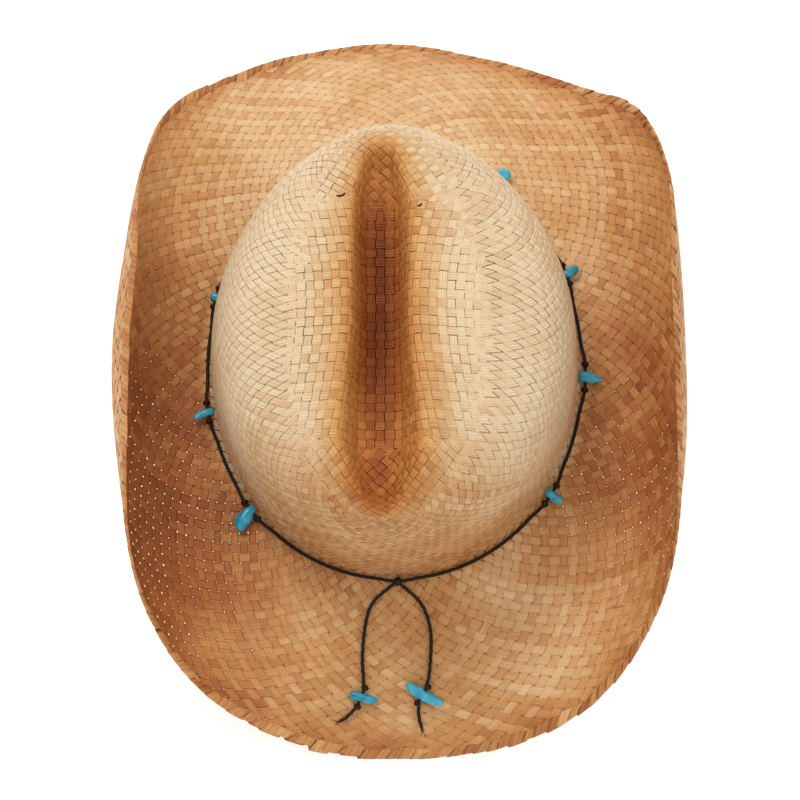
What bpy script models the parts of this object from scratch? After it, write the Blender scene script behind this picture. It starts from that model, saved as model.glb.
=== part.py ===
"""A straw cowboy hat: one woven body, a cord band tied at the front, and turquoise chips strung on it.

Metres, +Z up. The front of the brim points along -Y, and +X is to the right of someone who looks
at the front. The hat stands by itself on the front and back edges of its brim, at z = 0.
The body is worked out in its own frame, whose z = 0 is the plane of the head opening, and an empty
then leans it until both edges touch the ground.
"""

import math

import bmesh
import bpy
import numpy as np
from mathutils import Matrix, Vector
from mathutils.bvhtree import BVHTree

# Driving dimensions of the woven body.
HEAD_WIDTH = 0.175
HEAD_LENGTH = 0.207
CROWN_HEIGHT = 0.110
BRIM_WIDTH = 0.087
WALL = 0.0016

# Driving dimensions of the cord band and its beads.
CORD_DIAMETER = 0.0017
KNOT_DIAMETER = 0.0034
TIE_KNOT_DIAMETER = 0.0046
TIE_KNOT_SIZE = (1.15, 0.85, 0.8)
FIT_GAP = 0.0003
LAY_GAP = 0.0004
BUMP_SPREAD = math.radians(7)

# The band lies at this row of the crown's table, and its tie knot in this direction from +X.
BAND_ROW = 0.62
TIE_FROM_X = math.radians(270.7)

# Fineness of the faceted solids.
AROUND = 52
STEPS_PER_ROW = 2
BRIM_STEPS = 8
CORD_STATIONS = 60
KNOT_SIDES = 8
KNOT_RINGS = 5
CHIP_SIDES = 12
CHIP_RINGS = 8
HOLE_SIDES = 12

# The crown from its foot up to the ridge and down into the crease. Each row is one closed ring.
# across is its half width as a share of half the head width. back and front are its reach behind
# and before the middle as shares of half the head length. side_up, back_up and front_up are its
# heights as shares of the crown height. square is the power of its superellipse, and egg is how
# much narrower it is behind than in front. flare widens it most at two thirds of its way to the
# front, and shift moves it sideways as a share of half the width.
CROWN_COLUMNS = ("across", "back", "front", "side_up", "back_up", "front_up",
                 "square", "egg", "flare", "shift")
CROWN_ROWS = {
    "foot": (1.035, 1.040, 1.040, 0.00, 0.000, 0.000, 2.00, 0.05, 0.00, 0.000),
    "corner": (0.990, 1.006, 1.006, 0.04, 0.040, 0.040, 2.00, 0.05, 0.00, 0.000),
    "low_wall": (0.982, 0.975, 0.995, 0.22, 0.210, 0.200, 2.00, 0.02, 0.00, -0.005),
    "mid_wall": (0.960, 0.940, 0.985, 0.42, 0.430, 0.380, 2.00, 0.03, 0.00, -0.005),
    "high_wall": (0.905, 0.905, 0.975, 0.62, 0.630, 0.550, 2.00, 0.06, 0.00, -0.010),
    "shoulder": (0.785, 0.865, 0.960, 0.80, 0.800, 0.690, 2.00, 0.10, 0.00, -0.020),
    "dome": (0.570, 0.820, 0.930, 0.92, 0.885, 0.770, 2.05, 0.12, 0.03, -0.040),
    "brow": (0.330, 0.780, 0.905, 0.98, 0.920, 0.800, 2.20, 0.10, 0.15, -0.060),
    "ridge": (0.150, 0.720, 0.880, 1.00, 0.930, 0.815, 2.80, -0.06, 0.65, -0.072),
    "flank": (0.084, 0.640, 0.800, 0.77, 0.850, 0.740, 2.80, -0.06, 0.55, -0.075),
    "crease": (0.000, 0.500, 0.690, 0.735, 0.825, 0.725, 2.60, 0.00, 0.50, -0.075),
}

# The brim's strip in each direction round the foot. from_x is the direction in degrees, 0 to the
# right and 90 to the back. width is the strip's length as a share of the brim width. start and end
# are its slopes at the foot and at the edge, in degrees, and curl says how late it bends up.
BRIM_COLUMNS = ("from_x", "width", "start", "end", "curl")
BRIM_ROWS = (
    (0, 0.98, 2, 124, 1.20),
    (20, 1.00, -2, 117, 1.30),
    (38, 0.92, -12, 82, 1.60),
    (54, 0.81, -26, 4, 1.15),
    (72, 0.92, -33, -37, 1.40),
    (90, 1.00, -33, -44, 1.00),
    (108, 0.97, -33, -37, 1.50),
    (126, 0.78, -26, 10, 0.90),
    (142, 0.84, -12, 88, 1.40),
    (160, 0.96, 0, 125, 1.20),
    (180, 0.97, 3, 134, 1.20),
    (204, 0.95, 0, 122, 1.30),
    (228, 0.94, -8, 72, 1.45),
    (250, 0.92, -17, 8, 1.45),
    (270, 0.97, -19, -27, 1.00),
    (290, 0.97, -16, -4, 1.30),
    (312, 0.98, -9, 62, 1.40),
    (336, 1.01, -3, 116, 1.30),
)

# The chips on the band, drilled across near their inner end. from_x is the direction round the
# crown in degrees, length points away from the crown, width runs along the cord, and thick is
# their third size. inner is the length between the hole and the inner end, taper narrows the outer
# end, and bend curves it along the cord.
BAND_CHIP_COLUMNS = ("from_x", "length", "width", "thick", "inner", "taper", "bend")
BAND_CHIPS = {
    "bead_1": (55.0, 0.0104, 0.0066, 0.0042, 0.0026, -0.15, 0.0),
    "bead_2": (22.5, 0.0094, 0.0056, 0.0042, 0.0027, 0.15, 0.2),
    "bead_3": (-5.0, 0.0112, 0.0086, 0.0044, 0.0027, 0.75, -0.25),
    "bead_4": (-38.0, 0.0094, 0.0062, 0.0042, 0.0028, 0.40, -0.1),
    "bead_5": (223.5, 0.0130, 0.0060, 0.0043, 0.0026, -0.35, 0.5),
    "bead_6": (194.3, 0.0100, 0.0052, 0.0042, 0.0028, 0.40, 0.4),
    "bead_7": (164.0, 0.0056, 0.0054, 0.0042, 0.0026, 0.10, 0.0),
}

# The two tie ends as they lie on the front of the brim, from beside the tie knot outwards. x is
# across the hat and out is the way before the crown's foot, both in metres in the body's frame.
# lift is the height of the cord's middle over the straw as a share of its diameter.
TIE_COLUMNS = ("x", "out", "lift")
TIE_LEFT = (
    (-0.0050, 0.0034, 1.0),
    (-0.0104, 0.0074, 0.75),
    (-0.0138, 0.0181, 0.75),
    (-0.0152, 0.0298, 0.75),
    (-0.0155, 0.0370, 0.80),
    (-0.0146, 0.0427, 1.10),
    (-0.0145, 0.0465, 1.40),
    (-0.0180, 0.0546, 1.40),
    (-0.0206, 0.0582, 0.90),
    (-0.0261, 0.0618, 0.75),
)
TIE_RIGHT = (
    (0.0058, 0.0028, 1.0),
    (0.0105, 0.0059, 0.75),
    (0.0147, 0.0127, 0.75),
    (0.0171, 0.0222, 0.75),
    (0.0168, 0.0321, 0.75),
    (0.0163, 0.0400, 0.90),
    (0.0157, 0.0452, 1.50),
    (0.0107, 0.0529, 1.50),
    (0.0110, 0.0580, 0.90),
    (0.0128, 0.0641, 0.75),
)

# The chips on the tie ends. tie is the end that goes through them. It is straight from point first
# of its route to the next, with the hole in the middle. turn is the angle between the chip's length
# and the cord, in degrees.
TIE_CHIP_COLUMNS = ("tie", "first", "length", "width", "thick", "inner", "taper", "bend", "turn")
TIE_CHIPS = {
    "bead_8": ("left", 7, 0.0138, 0.0057, 0.0044, 0.0054, 0.30, 0.15, 100.0),
    "bead_9": ("right", 7, 0.0190, 0.0058, 0.0046, 0.0090, 0.10, -0.80, 77.0),
}

STRAW = ((0.72, 0.47, 0.24, 1.0), 0.75)
CORD = ((0.035, 0.025, 0.022, 1.0), 0.55)
TURQUOISE = ((0.03, 0.40, 0.55, 1.0), 0.30)


def column(rows, names, name):
    """One named column of a table."""
    return [row[names.index(name)] for row in rows]


def through(x, stations, values):
    """A smooth curve through the values: cubic pieces whose slope at a station is the mean of the
    slopes beside it, each weighted by the other's length."""
    stations = np.asarray(stations, float)
    values = np.asarray(values, float)
    length = np.diff(stations)
    slope = np.diff(values) / length
    tangent = np.empty_like(values)
    tangent[1:-1] = (slope[:-1] * length[1:] + slope[1:] * length[:-1]) / (length[1:] + length[:-1])
    tangent[0], tangent[-1] = slope[0], slope[-1]
    i = np.clip(np.searchsorted(stations, x, side="right") - 1, 0, len(length) - 1)
    t = (x - stations[i]) / length[i]
    rise = t * t * (3 - 2 * t)
    start = t * (1 - t) ** 2 * length[i] * tangent[i]
    end = t * t * (t - 1) * length[i] * tangent[i + 1]
    return values[i] * (1 - rise) + values[i + 1] * rise + start + end


def crown_column(row, name):
    """A column of the crown's table at a row number, which may lie between two rows."""
    values = column(CROWN_ROWS.values(), CROWN_COLUMNS, name)
    return through(row, np.arange(len(values)), values)


def brim_column(angle, name):
    """A column of the brim's table in any direction. Three rows at each end close the circle."""
    turn = column(BRIM_ROWS, BRIM_COLUMNS, "from_x")
    values = column(BRIM_ROWS, BRIM_COLUMNS, name)
    stations = [a - 360 for a in turn[-3:]] + turn + [a + 360 for a in turn[:3]]
    return through(np.degrees(angle) % 360, stations, values[-3:] + values + values[:3])


def crown_point(angle, row):
    """The crown's outer surface: a superellipse ring at each row of the table, narrower behind by
    the egg, wider in front by the flare, and lower or higher at its ends by the sine's square."""
    square = crown_column(row, "square")
    c, s = np.cos(angle), np.sin(angle)
    radius = (np.abs(c) ** square + np.abs(s) ** square) ** (-1 / square)
    c, s = c * radius, s * radius
    behind = s > 0
    reach = np.where(behind, crown_column(row, "back"), crown_column(row, "front"))
    end_up = np.where(behind, crown_column(row, "back_up"), crown_column(row, "front_up"))
    side_up = crown_column(row, "side_up")
    wide = 1 - crown_column(row, "egg") * s
    wide *= 1 + crown_column(row, "flare") * np.where(behind, 0, 4 * s * s * (1 - s * s))
    x = HEAD_WIDTH / 2 * (crown_column(row, "across") * c * wide + crown_column(row, "shift"))
    y = HEAD_LENGTH / 2 * reach * s
    z = CROWN_HEIGHT * (side_up + (end_up - side_up) * s * s)
    return np.stack([x, y, z], -1)


def brim_point(angle, share):
    """The brim's upper surface: from the crown's foot a strip runs out square to the foot, and its
    slope goes from start to end by the power curl of the share of its width that is passed."""
    foot = crown_point(angle, np.zeros_like(angle))
    half_width = HEAD_WIDTH / 2 * crown_column(0, "across")
    half_length = HEAD_LENGTH / 2 * crown_column(0, "back")
    outward = np.stack([np.cos(angle) / half_width, np.sin(angle) / half_length], -1)
    outward /= np.linalg.norm(outward, axis=-1, keepdims=True)
    start = np.radians(brim_column(angle, "start"))
    end = np.radians(brim_column(angle, "end"))
    curl = brim_column(angle, "curl")
    nodes, weights = np.polynomial.legendre.leggauss(12)
    run = np.zeros_like(share)
    rise = np.zeros_like(share)
    for node, weight in zip((nodes + 1) / 2, weights / 2):
        slope = start + (end - start) * (share * node) ** curl
        run += weight * np.cos(slope)
        rise += weight * np.sin(slope)
    strip = share * BRIM_WIDTH * brim_column(angle, "width")
    point = foot.copy()
    point[..., :2] += outward * (run * strip)[..., None]
    point[..., 2] += rise * strip
    return point


def crown_frame(angle, row):
    """A point of the crown and its outward unit normal, by small steps in both directions."""
    step = 1e-4
    point = crown_point(angle, row)
    along = crown_point(angle + step, row) - crown_point(angle - step, row)
    down = crown_point(angle, row - step) - crown_point(angle, row + step)
    normal = np.cross(down, along)
    return point, normal / np.linalg.norm(normal, axis=-1, keepdims=True)


def material(name, finish):
    """A Principled material of one colour and roughness."""
    made = bpy.data.materials.new(name)
    made.use_nodes = True
    shader = made.node_tree.nodes["Principled BSDF"]
    shader.inputs["Base Color"].default_value = finish[0]
    shader.inputs["Roughness"].default_value = finish[1]
    shader.inputs["Metallic"].default_value = 0.0
    return made


def add_object(name, mesh, collection, parent):
    """A mesh as a named object of a collection, smooth, under the hat's empty."""
    made = bpy.data.objects.new(name, mesh)
    collection.objects.link(made)
    made.parent = parent
    mesh.shade_smooth()
    return made


def add_cutter(made, collection):
    """Marks an object as one that only cuts or joins."""
    made.hide_render = True
    made.display_type = "WIRE"
    collection.objects.link(made)
    return made


def body_mesh():
    """The open outer surface of crown and brim: rings from the crease's line out to the brim's edge.
    The crease's line is one ring without width, so its left half shares the right half's points."""
    angle = (np.arange(AROUND) + 0.5) * 2 * math.pi / AROUND
    last = len(CROWN_ROWS) - 1
    rows = np.linspace(last, 0, last * STEPS_PER_ROW + 1)
    shares = np.linspace(0, 1, BRIM_STEPS + 1)[1:]
    rings = [crown_point(angle, np.full_like(angle, row)) for row in rows]
    rings += [brim_point(angle, np.full_like(angle, share)) for share in shares]
    points = np.concatenate(rings)

    def corner(ring, around):
        around %= AROUND
        if ring == 0 and AROUND // 4 <= around < 3 * AROUND // 4:
            around = (AROUND // 2 - 1 - around) % AROUND
        return ring * AROUND + around

    mesh = bpy.data.meshes.new("woven_body")
    shape = bmesh.new()
    verts = [shape.verts.new(point) for point in points]
    for ring in range(len(rings) - 1):
        for around in range(AROUND):
            loop = [corner(ring, around), corner(ring + 1, around),
                    corner(ring + 1, around + 1), corner(ring, around + 1)]
            shape.faces.new([verts[i] for i in dict.fromkeys(loop)])
    loose = [vert for vert in shape.verts if not vert.link_faces]
    bmesh.ops.delete(shape, geom=loose, context="VERTS")
    shape.to_mesh(mesh)
    shape.free()
    return mesh


def evaluated_points(made):
    """The points and faces of an object with its modifiers, in the body's frame."""
    graph = bpy.context.evaluated_depsgraph_get()
    final = made.evaluated_get(graph)
    mesh = final.to_mesh()
    points = [vert.co.copy() for vert in mesh.vertices]
    faces = [tuple(face.vertices) for face in mesh.polygons]
    final.to_mesh_clear()
    return points, faces


def stand(seat, points):
    """Leans the empty until the lowest point before the middle is as low as the lowest behind it,
    then puts the middle of the body's box over the origin and its lowest point on the ground."""
    points = np.array(points)
    before, behind = points[:, 1] < 0, points[:, 1] >= 0
    low, high = math.radians(-20), math.radians(20)
    for _ in range(40):
        lean = (low + high) / 2
        height = points[:, 1] * math.sin(lean) + points[:, 2] * math.cos(lean)
        if height[behind].min() < height[before].min():
            low = lean
        else:
            high = lean
    turned = points @ np.array(Matrix.Rotation(lean, 3, "X")).T
    middle = (turned.min(axis=0) + turned.max(axis=0)) / 2
    seat.rotation_euler = (lean, 0, 0)
    seat.location = (-middle[0], -middle[1], -turned[:, 2].min())


def band_route(angle):
    """The middle of the band's cord round the crown's foot. It lies in the corner between crown
    and brim, and stands off by a chip's inner end or half a knot where one is strung on it. It
    keeps that distance along a chip's width and then closes up in a smooth half wave."""
    point, normal = crown_frame(angle, np.full_like(angle, BAND_ROW))
    off = np.full_like(angle, CORD_DIAMETER / 2 + LAY_GAP)
    humps = [(math.radians(from_x), inner, (width / 2 + FIT_GAP) / (HEAD_WIDTH / 2))
             for from_x, _, width, _, inner, *_ in BAND_CHIPS.values()]
    humps.append((TIE_FROM_X, TIE_KNOT_DIAMETER / 2, 0))
    for place, radius, flat in humps:
        away = np.abs((angle - place + math.pi) % (2 * math.pi) - math.pi)
        away = np.clip((away - flat) / BUMP_SPREAD, 0, 1)
        off += (1 + np.cos(math.pi * away)) / 2 * (radius - CORD_DIAMETER / 2)
    return point + normal * off[..., None]


def band_arc(angle):
    """How far the band's cord runs for one radian at an angle."""
    step = 1e-3
    ends = band_route(np.array([angle - step, angle + step]))
    return np.linalg.norm(ends[1] - ends[0]) / (2 * step)


def band_stations():
    """The angles of the band's points: even, but straight through each chip."""
    places = [math.radians(a) % (2 * math.pi)
              for a in column(BAND_CHIPS.values(), BAND_CHIP_COLUMNS, "from_x")]
    widths = column(BAND_CHIPS.values(), BAND_CHIP_COLUMNS, "width")
    even = list(np.arange(CORD_STATIONS) * 2 * math.pi / CORD_STATIONS)
    for place, width in zip(places, widths):
        half = (width / 2 + FIT_GAP) / band_arc(place)
        even = [a for a in even if abs((a - place + math.pi) % (2 * math.pi) - math.pi) > 2.2 * half]
        even += [place - half, place + half]
    return np.array(sorted(even))


def smooth_route(points, straight):
    """The points with a smooth curve's point half way between each two, but none in the straight
    stretch that starts at the given point."""
    points = np.array(points)
    length = np.concatenate([[0], np.cumsum(np.linalg.norm(np.diff(points, axis=0), axis=1))])
    half_way = np.delete((length[1:] + length[:-1]) / 2, straight)
    at = np.sort(np.concatenate([length, half_way]))
    return np.stack([through(at, length, points[:, axis]) for axis in range(3)], -1)


def laid_route(start, route, tree):
    """A tie's points: it leaves the tie knot's middle, and each further point is lifted square from
    the straw under it."""
    foot = HEAD_LENGTH / 2 * crown_column(0, "front")
    laid = [start]
    for x, out, lift in route:
        over = Vector((x, -foot - out, CROWN_HEIGHT))
        place, normal, _, _ = tree.ray_cast(over, Vector((0, 0, -1)))
        laid.append(np.array(place + normal * (lift * CORD_DIAMETER)))
    return laid


def tube(name, points, closed):
    """A cord along its middle points, as a closed mesh."""
    curve = bpy.data.curves.new(name, "CURVE")
    curve.dimensions = "3D"
    curve.bevel_depth = CORD_DIAMETER / 2
    curve.bevel_resolution = 2
    curve.use_fill_caps = True
    spline = curve.splines.new("POLY")
    spline.points.add(len(points) - 1)
    for place, point in zip(spline.points, points):
        place.co = (*point, 1)
    spline.use_cyclic_u = closed
    line = bpy.data.objects.new(name, curve)
    bpy.context.scene.collection.objects.link(line)
    graph = bpy.context.evaluated_depsgraph_get()
    mesh = bpy.data.meshes.new_from_object(line.evaluated_get(graph))
    bpy.data.objects.remove(line)
    shape = bmesh.new()
    shape.from_mesh(mesh)
    bmesh.ops.remove_doubles(shape, verts=shape.verts, dist=1e-5)
    shape.to_mesh(mesh)
    shape.free()
    return mesh


def frame_matrix(place, out, along):
    """A frame at a place: its X points out, its Y runs along the cord and its Z squares them."""
    y = Vector(along).normalized()
    x = Vector(out)
    x = (x - y * x.dot(y)).normalized()
    turned = Matrix((x, y, x.cross(y))).transposed().to_4x4()
    return Matrix.Translation(Vector(place)) @ turned


def knot(place, along, diameter, size):
    """A knot as a small round lump on the cord."""
    shape = bmesh.new()
    bmesh.ops.create_uvsphere(shape, u_segments=KNOT_SIDES, v_segments=KNOT_RINGS, radius=diameter / 2)
    bmesh.ops.scale(shape, vec=size, verts=shape.verts)
    bmesh.ops.transform(shape, matrix=frame_matrix(place, (0, 0, 1), along), verts=shape.verts)
    mesh = bpy.data.meshes.new("knot")
    shape.to_mesh(mesh)
    shape.free()
    return mesh


def chip_mesh(length, width, thick, inner, taper, bend):
    """A polished chip: a ball stretched to the three sizes, full at its ends, with its outer end
    narrowed by the taper and curved along the cord by the bend. The hole's place, where the bend
    moves nothing, is the origin."""
    shape = bmesh.new()
    bmesh.ops.create_uvsphere(shape, u_segments=CHIP_SIDES, v_segments=CHIP_RINGS, radius=1)
    bmesh.ops.rotate(shape, matrix=Matrix.Rotation(math.pi / 2, 3, "Y"), verts=shape.verts)
    for vert in shape.verts:
        x, y, z = vert.co
        share = (x + 1) / 2
        full = 1 / max(math.sqrt(y * y + z * z), 0.35) ** 0.35
        narrow = full * (1 - taper * share)
        vert.co = Vector((x * length / 2 + length / 2 - inner,
                          y * narrow * width / 2 + bend * width * (share ** 2 - (inner / length) ** 2),
                          z * narrow * thick / 2))
    mesh = bpy.data.meshes.new("chip")
    shape.to_mesh(mesh)
    shape.free()
    return mesh


def drill(chip, frame, reach, cutters):
    """Cuts the cord's hole across a chip, along the Y of the chip's frame."""
    shape = bmesh.new()
    bmesh.ops.create_cone(shape, cap_ends=True, segments=HOLE_SIDES, depth=reach,
                          radius1=CORD_DIAMETER / 2 + FIT_GAP, radius2=CORD_DIAMETER / 2 + FIT_GAP)
    bmesh.ops.rotate(shape, matrix=Matrix.Rotation(math.pi / 2, 3, "X"), verts=shape.verts)
    mesh = bpy.data.meshes.new(chip.name + "_hole")
    shape.to_mesh(mesh)
    shape.free()
    cutter = add_cutter(bpy.data.objects.new(chip.name + "_hole", mesh), cutters)
    cutter.parent = chip.parent
    cutter.matrix_local = frame
    cut = chip.modifiers.new("hole", "BOOLEAN")
    cut.operation = "DIFFERENCE"
    cut.solver = "EXACT"
    cut.object = cutter


def add_body(parts, seat):
    """The woven body: crown and brim in one wall."""
    body = add_object("woven_body", body_mesh(), parts, seat)
    body.data.materials.append(material("straw", STRAW))
    wall = body.modifiers.new("wall", "SOLIDIFY")
    wall.thickness = WALL
    wall.offset = -1
    wall.use_even_offset = True
    return body


def add_band(parts, cutters, seat, tree):
    """The cord band in one piece: the loop round the crown, its two tie ends and all its knots."""
    stations = band_stations()
    loop = band_route(stations)
    band = add_object("band_cord", tube("band_cord", loop, True), parts, seat)
    band.data.materials.append(material("waxed_cord", CORD))
    place = band_route(np.array([TIE_FROM_X]))[0]
    ties = {"left": laid_route(place, TIE_LEFT, tree), "right": laid_route(place, TIE_RIGHT, tree)}
    joined = [tube("tie_" + tie, smooth_route(ties[tie], first), False)
              for tie, first, *_ in TIE_CHIPS.values()]
    joined.append(knot(place, (1, 0, 0), TIE_KNOT_DIAMETER, (TIE_KNOT_SIZE[1], TIE_KNOT_SIZE[0],
                                                             TIE_KNOT_SIZE[2])))
    for angle, _, width, *_ in BAND_CHIPS.values():
        middle = math.radians(angle)
        reach = (width / 2 + FIT_GAP + KNOT_DIAMETER / 2) / band_arc(middle)
        for side in (-1, 1):
            ends = band_route(np.array([middle + side * reach, middle + side * reach + 0.01]))
            joined.append(knot(ends[0], ends[1] - ends[0], KNOT_DIAMETER, (1, 1, 1)))
    for tie, start, _, width, *_ in TIE_CHIPS.values():
        first, second = ties[tie][start:start + 2]
        along = (second - first) / np.linalg.norm(second - first)
        middle = (first + second) / 2
        for way in (-1, 1):
            at = middle + way * along * (width / 2 + FIT_GAP + KNOT_DIAMETER / 2)
            joined.append(knot(at, along, KNOT_DIAMETER, (1, 1, 1)))
    for number, mesh in enumerate(joined):
        piece = add_cutter(bpy.data.objects.new(f"band_piece_{number}", mesh), cutters)
        piece.parent = seat
        join = band.modifiers.new(f"join_{number}", "BOOLEAN")
        join.operation = "UNION"
        join.solver = "EXACT"
        join.object = piece
    return ties


def add_chip(name, sizes, place, out, along, turn, parts, cutters, seat, finish):
    """One drilled chip with its hole at a place on the cord and its length at an angle to it."""
    length, width, thick, inner, taper, bend = sizes
    chip = add_object(name, chip_mesh(length, width, thick, inner, taper, bend), parts, seat)
    chip.data.materials.append(finish)
    frame = frame_matrix(place, out, along)
    chip.matrix_local = frame @ Matrix.Rotation(math.radians(90 - turn), 4, "Z")
    drill(chip, frame, 4 * width, cutters)


def add_chips(parts, cutters, seat, tree, ties):
    """All chips: seven on the band, pointing away from the crown, and one on each tie end."""
    finish = material("turquoise", TURQUOISE)
    for name, (angle, *sizes) in BAND_CHIPS.items():
        middle = math.radians(angle)
        half = (sizes[1] / 2 + FIT_GAP) / band_arc(middle)
        ends = band_route(np.array([middle - half, middle + half]))
        foot = crown_point(np.array([middle]), np.array([0.0]))[0]
        brim = brim_point(np.array([middle]), np.array([sizes[0] / BRIM_WIDTH]))[0]
        add_chip(name, sizes, ends.mean(axis=0), brim - foot, ends[1] - ends[0], 90, parts, cutters,
                 seat, finish)
    for name, (tie, start, *sizes, turn) in TIE_CHIPS.items():
        first, second = ties[tie][start:start + 2]
        middle = Vector((first + second) / 2)
        along = Vector(second - first).normalized()
        _, normal, _, _ = tree.find_nearest(middle)
        out = Matrix.Rotation(math.pi / 2, 3, normal) @ along
        add_chip(name, sizes, middle, out, along, turn, parts, cutters, seat, finish)


def main():
    for old in list(bpy.data.objects):
        bpy.data.objects.remove(old)
    parts = bpy.data.collections.new("straw_cowboy_hat")
    cutters = bpy.data.collections.new("cutters")
    bpy.context.scene.collection.children.link(parts)
    bpy.context.scene.collection.children.link(cutters)
    seat = bpy.data.objects.new("hat_seat", None)
    parts.objects.link(seat)
    body = add_body(parts, seat)
    points, faces = evaluated_points(body)
    tree = BVHTree.FromPolygons(points, faces)
    ties = add_band(parts, cutters, seat, tree)
    add_chips(parts, cutters, seat, tree, ties)
    stand(seat, points)


main()
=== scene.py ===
"""Looks of a straw cowboy hat: woven strips, turned rim, waxed cord, stone chips and the stage."""

import math

import bpy
import numpy as np
from bpy.props import FloatProperty, FloatVectorProperty, IntProperty, PointerProperty
from mathutils import Matrix, Vector
from mathutils.bvhtree import BVHTree


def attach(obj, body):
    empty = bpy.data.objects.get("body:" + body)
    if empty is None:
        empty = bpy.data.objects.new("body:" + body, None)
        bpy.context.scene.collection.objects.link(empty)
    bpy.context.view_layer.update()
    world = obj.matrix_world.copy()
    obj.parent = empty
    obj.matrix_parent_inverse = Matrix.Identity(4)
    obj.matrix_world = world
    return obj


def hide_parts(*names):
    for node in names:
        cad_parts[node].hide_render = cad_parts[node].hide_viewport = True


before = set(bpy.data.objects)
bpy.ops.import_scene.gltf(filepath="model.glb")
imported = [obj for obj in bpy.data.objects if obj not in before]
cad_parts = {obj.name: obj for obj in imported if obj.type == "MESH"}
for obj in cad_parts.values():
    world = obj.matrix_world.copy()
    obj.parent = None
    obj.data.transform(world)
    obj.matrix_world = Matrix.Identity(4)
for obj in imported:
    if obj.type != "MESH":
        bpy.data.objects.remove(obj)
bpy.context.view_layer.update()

bl_info = {
    "name": "Straw Cowboy Hat",
    "version": (1, 0, 0),
    "blender": (4, 5, 0),
    "location": "3D Viewport > Sidebar > Straw Hat",
    "description": "Weaves a straw cowboy hat around its solids, with its cord, chips and stage",
    "category": "Add Mesh",
}

# The crown from its foot up to the ridge and down into the crease, one closed ring a row, as shares
# of half the head's width and length and of the crown's height.
CROWN_COLUMNS = ("across", "back", "front", "side_up", "back_up", "front_up",
                 "square", "egg", "flare", "shift")
CROWN_ROWS = {
    "foot": (1.035, 1.040, 1.040, 0.00, 0.000, 0.000, 2.00, 0.05, 0.00, 0.000),
    "corner": (0.990, 1.006, 1.006, 0.04, 0.040, 0.040, 2.00, 0.05, 0.00, 0.000),
    "low_wall": (0.982, 0.975, 0.995, 0.22, 0.210, 0.200, 2.00, 0.02, 0.00, -0.005),
    "mid_wall": (0.960, 0.940, 0.985, 0.42, 0.430, 0.380, 2.00, 0.03, 0.00, -0.005),
    "high_wall": (0.905, 0.905, 0.975, 0.62, 0.630, 0.550, 2.00, 0.06, 0.00, -0.010),
    "shoulder": (0.785, 0.865, 0.960, 0.80, 0.800, 0.690, 2.00, 0.10, 0.00, -0.020),
    "dome": (0.570, 0.820, 0.930, 0.92, 0.885, 0.770, 2.05, 0.12, 0.03, -0.040),
    "brow": (0.330, 0.780, 0.905, 0.98, 0.920, 0.800, 2.20, 0.10, 0.15, -0.060),
    "ridge": (0.150, 0.720, 0.880, 1.00, 0.930, 0.815, 2.80, -0.06, 0.65, -0.072),
    "flank": (0.084, 0.640, 0.800, 0.77, 0.850, 0.740, 2.80, -0.06, 0.55, -0.075),
    "crease": (0.000, 0.500, 0.690, 0.735, 0.825, 0.725, 2.60, 0.00, 0.50, -0.075),
}

# The brim's strip in each direction round the foot: its length as a share of the brim's width, its
# slopes at the foot and at the edge in degrees, and how late it bends up.
BRIM_COLUMNS = ("from_x", "width", "start", "end", "curl")
BRIM_ROWS = (
    (0, 0.98, 2, 124, 1.20),
    (20, 1.00, -2, 117, 1.30),
    (38, 0.92, -12, 82, 1.60),
    (54, 0.81, -26, 4, 1.15),
    (72, 0.92, -33, -37, 1.40),
    (90, 1.00, -33, -44, 1.00),
    (108, 0.97, -33, -37, 1.50),
    (126, 0.78, -26, 10, 0.90),
    (142, 0.84, -12, 88, 1.40),
    (160, 0.96, 0, 125, 1.20),
    (180, 0.97, 3, 134, 1.20),
    (204, 0.95, 0, 122, 1.30),
    (228, 0.94, -8, 72, 1.45),
    (250, 0.92, -17, 8, 1.45),
    (270, 0.97, -19, -27, 1.00),
    (290, 0.97, -16, -4, 1.30),
    (312, 0.98, -9, 62, 1.40),
    (336, 1.01, -3, 116, 1.30),
)

# The cord's gap to the straw, a chip's gap to the cord and its knots, the half width of the bump
# that the cord makes beside a chip, the band's row of the crown's table and the tie knot's direction.
LAY_GAP = 0.0004
FIT_GAP = 0.0003
BUMP_SPREAD = math.radians(7)
BAND_ROW = 0.62
TIE_FROM_X = math.radians(270.7)

# The chips on the band, drilled across near their inner end: from_x, length, width, thick, inner,
# taper and bend. from_x is the direction round the crown in degrees, length points away from the
# crown, width runs along the cord, and thick is their third size. inner is the length between the
# hole and the inner end, taper narrows the outer end, and bend curves it along the cord.
BAND_CHIPS = {
    "bead_1": (55.0, 0.0104, 0.0066, 0.0042, 0.0026, -0.15, 0.0),
    "bead_2": (22.5, 0.0094, 0.0056, 0.0042, 0.0027, 0.15, 0.2),
    "bead_3": (-5.0, 0.0112, 0.0086, 0.0044, 0.0027, 0.75, -0.25),
    "bead_4": (-38.0, 0.0094, 0.0062, 0.0042, 0.0028, 0.40, -0.1),
    "bead_5": (223.5, 0.0130, 0.0060, 0.0043, 0.0026, -0.35, 0.5),
    "bead_6": (194.3, 0.0100, 0.0052, 0.0042, 0.0028, 0.40, 0.4),
    "bead_7": (164.0, 0.0056, 0.0054, 0.0042, 0.0026, 0.10, 0.0),
}

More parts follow.
